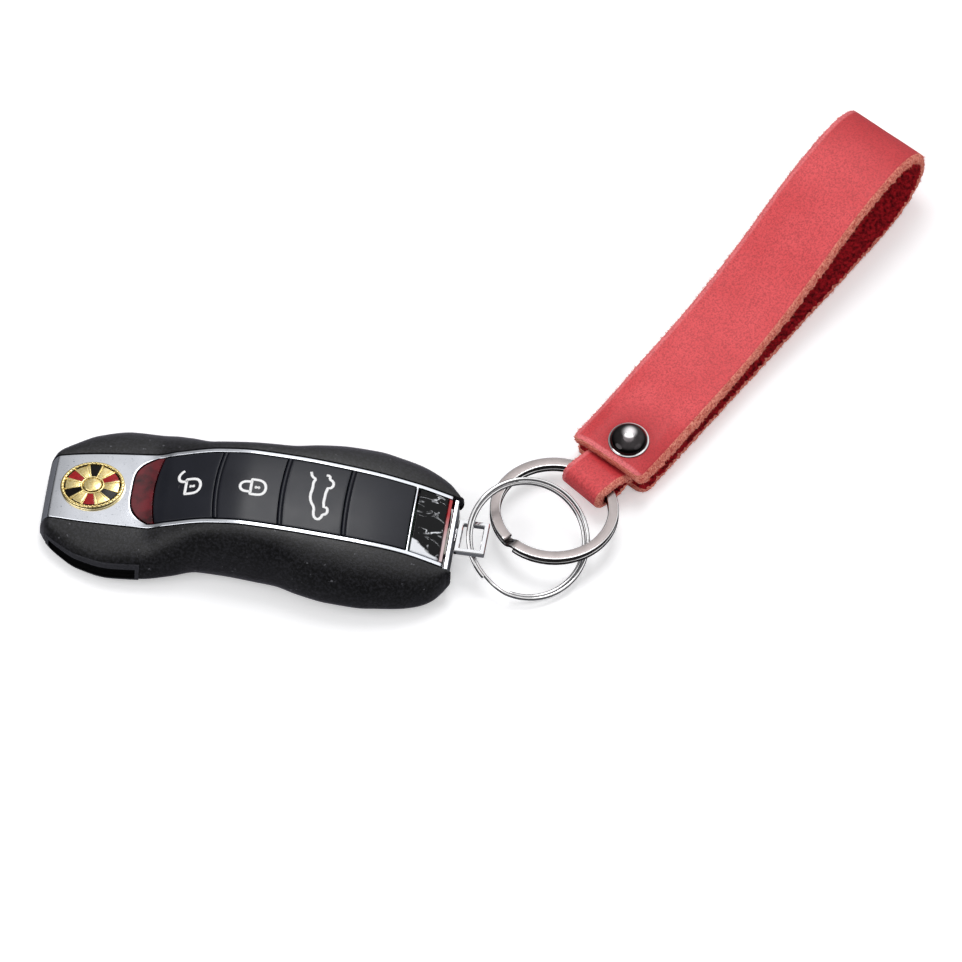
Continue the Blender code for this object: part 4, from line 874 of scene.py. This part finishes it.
# Grinding leaves fine rings about the ring's axis, drawn at 0.2 mm
from_axis = add(tree, "Mapping", {"Vector": place, "Location": [-c for c in FLAT_CENTRE]})[0]
flat_part = add(tree, "VectorMath", (from_axis, (1, 1, 0)), operation="MULTIPLY")[0]
away = add(tree, "VectorMath", (flat_part,), operation="LENGTH")["Value"]
grinding = add(tree, "TexNoise", {"W": away, "Scale": 5000.0, "Detail": 3.0},
               noise_dimensions="1D")["Fac"]
blotch = add(tree, "TexNoise", {"Vector": place, "Scale": 500.0, "Detail": 4.0})["Fac"]
surface(tree, shader, "938C8B", [("837C7B", blotch)], (grinding, 0.3, 0.7, 0.3, 0.4),
        (grinding, 0.12, 0.01 * MM))
shaded_edge_nickel = textured("black nickel painted as edge shade", "545050", "3C3837", 0.18, 0.4 * MM, 0.006 * MM,
                       Metallic=1.0)
half_w, half_t, cut = FLAT_WIDE / 2, FLAT_THICK / 2, FLAT_CHAMFER
flat_corner = [(half_w - cut, -half_t), (half_w - 0.3 * cut, 0.3 * cut - half_t),
               (half_w, cut - half_t)]
flat_section = (flat_corner + [(out, -up) for out, up in flat_corner[::-1]] + [(0, half_t)]
                + [(-out, -up) for out, up in flat_corner]
                + [(-out, up) for out, up in flat_corner[::-1]] + [(0, -half_t)])
flat_pose = tilted(FLAT_CENTRE, *FLAT_SLOPES, FLAT_TURN)
flat = coiled("flat_ring_wire", flat_section, FLAT_RADIUS, 0, FLAT_THICK + COIL_GAP, FLAT_STEP,
              flat_pose, ground_nickel)
# Darker nickel on the edges is painted shade, and bright nickel on the corners a painted highlight.
flat.data.materials.append(shaded_edge_nickel)
flat.data.materials.append(bright_nickel_and_highlight)
ring_axis = flat_pose.to_3x3() @ Vector((0, 0, 1))
for polygon in flat.data.polygons:
    upright = abs(polygon.normal.dot(ring_axis))
    polygon.material_index = (1 if upright < EDGE_UPRIGHT else
                              2 if upright < CORNER_UPRIGHT else 0)
fit(flat, "wide_ring", "dark_nickel_wire", "flat_ring")


# The strap is one strip of red full-grain leather, folded into a loop with the grain outside. Its
# edges are cut raw, so they show pale fibres, and its flesh side is dark red suede.
LEATHER = 2.2 * MM
STRAP_WIDTH = 20 * MM
FLESH_SPREAD = 1.1 * MM
STRAP_LENGTH = 102 * MM
LOOP_HEIGHT = 22 * MM
STRAP_END = 6.4 * MM
STRAP_UNDER_END = 5.0 * MM
STRAP_CORNER = 1.9 * MM
TONGUE_LEATHER = 2.0 * MM
TONGUE_WIDTH = 12.4 * MM
TONGUE_TURN = math.radians(52.9)
STRAP_TURN = math.radians(60.6)
TONGUE_REACH = 10.4 * MM
EDGE_ROUND = 0.35 * MM
EDGE_STEPS = 6
EDGE_SLANT = 1.0 * MM
STRAP_ASIDE = 1.35 * MM
SIDE_DROOP = 1.5 * MM
CAP_SWELL = 0.26 * MM
FOOT_DENT = 0.15 * MM
LOOP_SHARES = ((0.10, 0), (0.40, 0), (0.70, 0), (0.845, 0.015), (0.925, 0.12), (0.975, 0.35),
               (0.989, 0.60), (0.970, 0.83), (0.93, 0.965), (0.875, 1), (0.79, 0.955),
               (0.71, 0.855), (0.63, 0.715), (0.54, 0.56), (0.45, 0.445), (0.37, 0.375),
               (0.285, 0.335), (0.22, 0.325), (0.16, 0.345), (0.10, 0.359))


def curved(points, steps):
    """Points along a smooth curve through the given (along, up) points."""
    ends = [points[0], *points, points[-1]]
    found = []
    for a, b, c, d in zip(ends, ends[1:], ends[2:], ends[3:]):
        for i in range(steps):
            t = i / steps
            found.append(tuple(
                b[k] + t * (c[k] - a[k]) / 2 + t * t * (a[k] - 2.5 * b[k] + 2 * c[k] - d[k] / 2)
                + t ** 3 * (1.5 * b[k] - 1.5 * c[k] + d[k] / 2 - a[k] / 2) for k in range(2)))
    return found + [points[-1]]


def outward(turn, reach=1.0):
    return Vector((math.cos(turn), math.sin(turn), 0)) * reach


def ring_plane(place):
    """The height of the flat ring's plane over a place."""
    return (FLAT_CENTRE[2] + FLAT_SLOPES[0] * (place.x - FLAT_CENTRE[0])
            + FLAT_SLOPES[1] * (place.y - FLAT_CENTRE[1]))


bar = Vector(FLAT_CENTRE) + outward(TONGUE_TURN, FLAT_RADIUS)
bar.z = ring_plane(bar)
rivet_place = bar + outward(TONGUE_TURN, TONGUE_REACH)
rivet_place.z = 0
stack_lower = LEATHER + SEAM + TONGUE_LEATHER / 2
stack_upper = stack_lower + TONGUE_LEATHER + SEAM
stack_top = stack_upper + TONGUE_LEATHER / 2 + SEAM + LEATHER / 2


def leather_strip(name, path, width, thickness, corner, turn, place, grain_up, lean, ragged,
                  station=0.45 * MM, across_steps=30):
    """A leather strip swept along (along, up) points, with raw edges and rounded corners.

    grain_up is 1 where the grain lies on the path's left, and -1 on its right. lean gives how far
    a point is raised, and ragged how far the cut edge is torn."""
    run_to = [0]
    for a, b in zip(path, path[1:]):
        run_to.append(run_to[-1] + math.dist(a, b))
    total = run_to[-1]
    rounds = [corner * (1 - math.cos(t)) for t in spread(0, math.pi / 2, 10)]
    lengths = (rounds[:-1] + spread(rounds[-1], total - rounds[-1], round(total / station))
               + [total - s for s in rounds[:-1][::-1]])
    line = []
    for s in lengths:
        i = max(k for k in range(len(path) - 1) if s >= run_to[k])
        share = min((s - run_to[i]) / (run_to[i + 1] - run_to[i]), 1)
        line.append(tuple(a + share * (b - a) for a, b in zip(path[i], path[i + 1])))
    along_way, across_way = outward(turn), outward(turn + math.pi / 2)
    high = thickness / 2

    def skived(up):
        """The near edge is cut at a slant: the grain is drawn in from the flesh side."""
        return EDGE_SLANT * (0.5 + 0.5 * grain_up * up / high) ** 1.5

    points, places, rims = [], [], []
    for i, (a, z) in enumerate(line):
        before, after = line[max(i - 1, 0)], line[min(i + 1, len(line) - 1)]
        run = math.dist(before, after)
        rise_a, rise_z = -(after[1] - before[1]) / run, (after[0] - before[0]) / run
        short = max(corner - min(lengths[i], total - lengths[i]), 0)
        half = width / 2 - corner + math.sqrt(max(corner ** 2 - short ** 2, 0))
        flat_half = half - EDGE_ROUND
        # The section goes along the lower face, up the far edge, back over the upper face and down
        # the near edge. Each point's kind is 0 below, 2 above and 1 on an edge.
        section = []
        for way in (1, -1):
            face = -way * high
            section += [(s * flat_half + (1 - s) / 2 * skived(face), face, 1 - way)
                        for s in spread(-way, way, across_steps)]
            for t in spread(0, 1, EDGE_STEPS)[1:-1]:
                up = face + 2 * way * high * t
                slant = skived(up) if way < 0 else 0
                bulge = EDGE_ROUND * math.sin(math.pi * t) ** 0.6
                section.append((slant + way * (flat_half + bulge), up, 1))
        for side, up, kind in section:
            seed = Vector((lengths[i] / MM, side / MM, up / MM))
            if kind == 1 or abs(side) > half - 2.2 * EDGE_ROUND:
                way = 1 if side > 0 else -1
                flesh = 0.5 - 0.5 * grain_up * up / high
                tear = noise.noise(seed * 0.9) * 0.5 + noise.noise(seed * 2.6) * 0.7
                rough = ragged if side < 0 else 0.4 * ragged
                side += way * rough * (0.45 + 0.9 * flesh) * (tear - 0.2)
            swell = noise.noise(Vector((lengths[i] / MM / 9, side / MM / 7, 3.1))) * 0.06 * MM
            point = along_way * (a + rise_a * (up + swell)) + across_way * side
            point += Vector((place.x, place.y, z + rise_z * (up + swell)))
            point.z += lean(a, z, side, point)
            points.append(point)
            places.append((lengths[i], side, up))
            rims.append(min(half - abs(side), lengths[i], total - lengths[i]))
    count = len(section)
    kinds = [kind for _, _, kind in section]
    finish_row = [2 if a != b or a == 1 else 0 if (a == 2) == (grain_up > 0) else 1
                  for a, b in zip(kinds, kinds[1:] + kinds[:1])]
    faces = ring_faces(len(line), count)
    flat_top = across_steps + EDGE_STEPS
    for start in (0, len(points) - count):
        faces += [(start + c, start + c + 1, start + flat_top + across_steps - c - 1,
                   start + flat_top + across_steps - c) for c in range(across_steps)]
        faces += [tuple(start + (first + k) % count for k in range(EDGE_STEPS + 1))
                  for first in (across_steps, flat_top + across_steps)]
    finish_row = finish_row * (len(line) - 1)
    piece = piece_from(name, points, faces, grain_leather)
    piece.data.materials.append(suede)
    piece.data.materials.append(raw_edge)
    piece.data.polygons.foreach_set("material_index",
                                    finish_row + [2] * (len(faces) - len(finish_row)))
    store = piece.data.attributes.new("strip_place", "FLOAT_VECTOR", "POINT")
    store.data.foreach_set("vector", [c for p in places for c in p])
    store = piece.data.attributes.new("from_rim", "FLOAT", "POINT")
    store.data.foreach_set("value", rims)
    return joined(piece, 0)


grain_leather, tree, shader, place = new_finish("red full-grain leather", "E0494E", 0.5,
                                                Specular_IOR_Level=0.4)
at = add(tree, "Attribute", attribute_name="strip_place")["Vector"]
from_rim = add(tree, "Attribute", attribute_name="from_rim")["Fac"]
patches = add(tree, "TexNoise", {"Vector": at, "Scale": 90.0, "Detail": 4.0})["Fac"]
# The pores are about 0.15 mm in the real leather and are drawn at 0.4 mm, so that they show
cells = add(tree, "TexVoronoi", {"Vector": at, "Scale": 2300.0},
            feature="DISTANCE_TO_EDGE")["Distance"]
pores = add(tree, "TexNoise", {"Vector": at, "Scale": 2400.0, "Detail": 3.0,
                               "Roughness": 0.7})["Fac"]
from_rivet = add(tree, "VectorMath", (place, tuple(rivet_place)), operation="DISTANCE")["Value"]
rivet_shade, near_tip = [
    add(tree, "MapRange", (from_rivet, *span), interpolation_type="SMOOTHSTEP")[0]
    for span in ((0.007, 0.017, 1.0, 0.0), (0.085, 0.098, 0.0, 0.55))]
cell_height = add(tree, "MapRange", (cells, 0.0, 0.12))[0]
pebbled = add(tree, "Math", (cell_height, pores), operation="ADD")[0]
# The strip is darker round the rivet, as painted shade, and deeper red towards the loop's tip. A
# creased line runs along the edge, where the grain is stretched and paler.
surface(tree, shader, "DE474C", [
    ("E9575C", patches, 0.35, 0.68), ("B9232C", rivet_shade), ("B9232C", near_tip),
    ("F07C80", from_rim, 0.0010, 0.0015, 0.85, 0.0), ("9C2A30", pores, 0.34, 0.56, 0.6, 0.0)],
    (patches, 0.3, 0.7, 0.44, 0.56), (pebbled, 0.6, 0.04 * MM))

suede, tree, shader, _ = new_finish("dark red suede", "7A0C18", 0.95, Specular_IOR_Level=0.2)
at = add(tree, "Attribute", attribute_name="strip_place")["Vector"]
nap = add(tree, "TexNoise", {"Vector": at, "Scale": 1100.0, "Detail": 5.0, "Roughness": 0.75})[
    "Fac"]
surface(tree, shader, "52000B", [("D0222F", nap, 0.38, 0.62)], relief=(nap, 1.0, 0.3 * MM))

raw_edge, tree, shader, _ = new_finish("raw cut leather edge", "D0574A", 0.9)
at = add(tree, "Attribute", attribute_name="strip_place")["Vector"]
fibre_way = add(tree, "Mapping", {"Vector": at, "Scale": (1.0, 0.35, 1.6)})[0]
fibres = add(tree, "TexNoise", {"Vector": fibre_way, "Scale": 2200.0, "Detail": 5.0,
                                "Roughness": 0.7})["Fac"]
surface(tree, shader, "B8342F", [("FFAA94", fibres, 0.36, 0.62)], relief=(fibres, 1.0, 0.2 * MM))

rest = LEATHER / 2
strap_line = [(-STRAP_UNDER_END, rest)]
strap_line += [(a * STRAP_LENGTH, rest + z * (LOOP_HEIGHT - LEATHER)) for a, z in LOOP_SHARES]
strap_line += [(0, stack_top), (-STRAP_END, stack_top + SEAM)]
strap_line = [(a, max(z, rest)) for a, z in curved(strap_line, 10)]


def pressed(along, level, side, place):
    """The upper layer droops past the tongue's sides, and swells round the rivet's cap.

    The under layer is dented round the rivet's foot."""
    from_rivet = math.hypot(along, side + STRAP_ASIDE)
    if level < stack_lower:
        return FOOT_DENT * (1 - eased_step(from_rivet, 3.6 * MM, 4.6 * MM))
    past_tongue = max(abs(side) - TONGUE_WIDTH / 2, 0) / (STRAP_WIDTH - TONGUE_WIDTH) * 2
    droop = -SIDE_DROOP * past_tongue ** 1.5 * (1 - eased_step(along, 8 * MM, 24 * MM))
    return droop + CAP_SWELL * (1 - eased_step(from_rivet, 4.7 * MM, 6.2 * MM))


strap = leather_strip("strap_leather", strap_line, STRAP_WIDTH + FLESH_SPREAD, LEATHER,
                      STRAP_CORNER, STRAP_TURN,
                      rivet_place + outward(STRAP_TURN + math.pi / 2, STRAP_ASIDE), -1, pressed,
                      0.6 * MM)
fit(strap, "hand_strap", "red_leather", "strap")

fibre_finish = textured("torn leather fibre", "F29A82", "D05244", 0.9, 0.5 * MM, 0.01 * MM)


def torn_fibres(name, leather, count, reach, seed):
    """Short bent fibres that stand out of a strip's cut edges."""
    chance = random.Random(seed)
    mesh = leather.data
    edge = [p for p in mesh.polygons if p.material_index == 2]
    points, faces = [], []
    for face in chance.choices(edge, weights=[p.area for p in edge], k=count):
        shares = [chance.random() for _ in face.vertices]
        root = sum((mesh.vertices[v].co * s for v, s in zip(face.vertices, shares)),
                   Vector()) / sum(shares)
        stray = Vector([chance.uniform(-1, 1) for _ in range(3)])
        way = (face.normal + stray * 0.8).normalized()
        way.z = max(way.z, -0.3 if root.z > 1 * MM else 0)
        bend = Vector([chance.uniform(-1, 1) for _ in range(3)]) * 0.35
        length = reach * chance.uniform(0.25, 1) ** 1.5
        thick = chance.uniform(0.04, 0.1) * MM
        first = way.orthogonal().normalized()
        second = way.cross(first)
        base = len(points)
        for share in (0, 0.55):
            centre = root + (way + bend * share) * length * (share - 0.15)
            for turn in spread(0, 2 * math.pi, 3)[:-1]:
                points.append(centre + (first * math.cos(turn) + second * math.sin(turn))
                              * thick * (1 - 0.5 * share))
        points.append(root + (way + bend) * length)
        faces += [tuple(base + v for v in corners) for corners in
                  ring_faces(2, 3) + [(3 + k, 3 + (k + 1) % 3, 6) for k in range(3)]]
    fit(piece_from(name, points, faces, fibre_finish), "hand_strap", "red_leather")


torn_fibres("strap_fibres", strap, 7000, 0.7 * MM, 5)


# The tongue is a second strip of the same leather. It goes round the flat ring and back between
# the strap's two layers, where the rivet holds it.
FOLD_GAP = 0.36 * MM
FOLD_HALF = (FLAT_THICK + COIL_GAP) / 2 + FLAT_THICK / 2 + FOLD_GAP + TONGUE_LEATHER / 2
FOLD_FRONT = 4.45 * MM
FOLD_BACK = 1.5 * MM
FOLD_CLOSING = 2.6 * MM
FOLD_CLOSED = 5.0 * MM
TONGUE_TAIL = 5.6 * MM
TONGUE_CORNER = 0.6 * MM
FOLD_CORNERS = ((0.92, 0.66), (0.72, 0.94), (0.40, 1.0), (0.0, 1.0))


def fold_side(level, stack):
    rounding = [(-FOLD_FRONT * a, bar.z + (level - bar.z) * z) for a, z in FOLD_CORNERS]
    return rounding + [(FOLD_BACK, level), (FOLD_CLOSING, (level * 2 + stack) / 3),
                       ((FOLD_CLOSING + FOLD_CLOSED) / 2, (level + stack * 5) / 6),
                       (FOLD_CLOSED, stack), (TONGUE_REACH, stack),
                       (TONGUE_REACH + TONGUE_TAIL, stack)]


def with_ring(along, level, side, place):
    """The fold leans with the ring in it, and not where it lies flat under the rivet."""
    fade = min(max((FOLD_CLOSED - along) / (FOLD_CLOSED - FOLD_BACK), 0), 1)
    return (ring_plane(place) - bar.z) * fade


tongue_line = [*fold_side(bar.z - FOLD_HALF, stack_lower)[::-1], (-FOLD_FRONT, bar.z),
               *fold_side(bar.z + FOLD_HALF, stack_upper)]
tongue = leather_strip("ring_tongue_leather", curved(tongue_line, 8), TONGUE_WIDTH, TONGUE_LEATHER,
                       TONGUE_CORNER, TONGUE_TURN, bar, 1, with_ring, 0.4 * MM, 0.4 * MM, 20)
fit(tongue, "hand_strap", "red_leather", "ring_tongue")
torn_fibres("tongue_fibres", tongue, 900, 0.5 * MM, 6)


# The rivet is a domed cap of black nickel on brass, pressed onto a post whose foot is let into the
# leather underneath. A pale spot on its crown is a painted highlight, and its rim is bright nickel
# as a painted highlight.
RIVET_HALF = 4.8 * MM
CAP_RISE = 2.6 * MM
CAP_RIM = 0.7 * MM
POST_HALF = 1.5 * MM
FLANGE = 0.5 * MM
FLANGE_HEIGHT = 0.4 * MM
HIGHLIGHT_ASIDE = 1.1 * MM
cap_base = stack_top + LEATHER / 2 + SEAM
black_nickel, tree, shader, place = new_finish("black nickel on brass", "5C585A", 0.12,
                                               Metallic=1.0)
haze = add(tree, "TexNoise", {"Vector": place, "Scale": 800.0, "Detail": 4.0})["Fac"]
# A pale spot on the crown, a little behind its top, is a painted highlight.
highlight_centre = rivet_place + Vector((0, HIGHLIGHT_ASIDE, cap_base + CAP_RISE))
from_highlight = add(tree, "VectorMath", (place, tuple(highlight_centre)), operation="DISTANCE")["Value"]
painted_highlight = add(tree, "MapRange", (from_highlight, 0.0005, 0.0022, 1.0, 0.0),
             interpolation_type="SMOOTHSTEP")[0]
surface(tree, shader, "3E3B3C", [("2A2728", haze), ("E2DEE0", painted_highlight)],
        (haze, 0.35, 0.7, 0.12, 0.22))
dome = [((RIVET_HALF - FLANGE) * math.cos(t),
         cap_base + FLANGE_HEIGHT + (CAP_RISE - FLANGE_HEIGHT) * math.sin(t) ** 0.9)
        for t in spread(0, math.pi / 2, 28)][:-1]
rivet = turned("rivet_dome", [
    (0.3 * MM, cap_base + CAP_RIM), (POST_HALF + SEAM, cap_base + CAP_RIM),
    (POST_HALF + SEAM, cap_base), (RIVET_HALF - 0.2 * MM, cap_base),
    (RIVET_HALF, cap_base + 0.18 * MM), (RIVET_HALF, cap_base + 0.32 * MM),
    (RIVET_HALF - 0.1 * MM, cap_base + FLANGE_HEIGHT), *dome, (0.1 * MM, cap_base + CAP_RISE)],
    Matrix.Translation((rivet_place.x, rivet_place.y, 0)), black_nickel, 128)
# The rim's upward faces take bright nickel as a painted highlight.
rivet.data.materials.append(bright_nickel_and_highlight)
rivet.data.polygons.foreach_set("material_index", [
    int(p.normal.z > 0.5 and p.center.z < cap_base + 1.05 * FLANGE_HEIGHT)
    for p in rivet.data.polygons])
fit(rivet, "hand_strap", "black_nickel", "rivet_cap")
dress("rivet_post", black_nickel, 0.1 * MM)
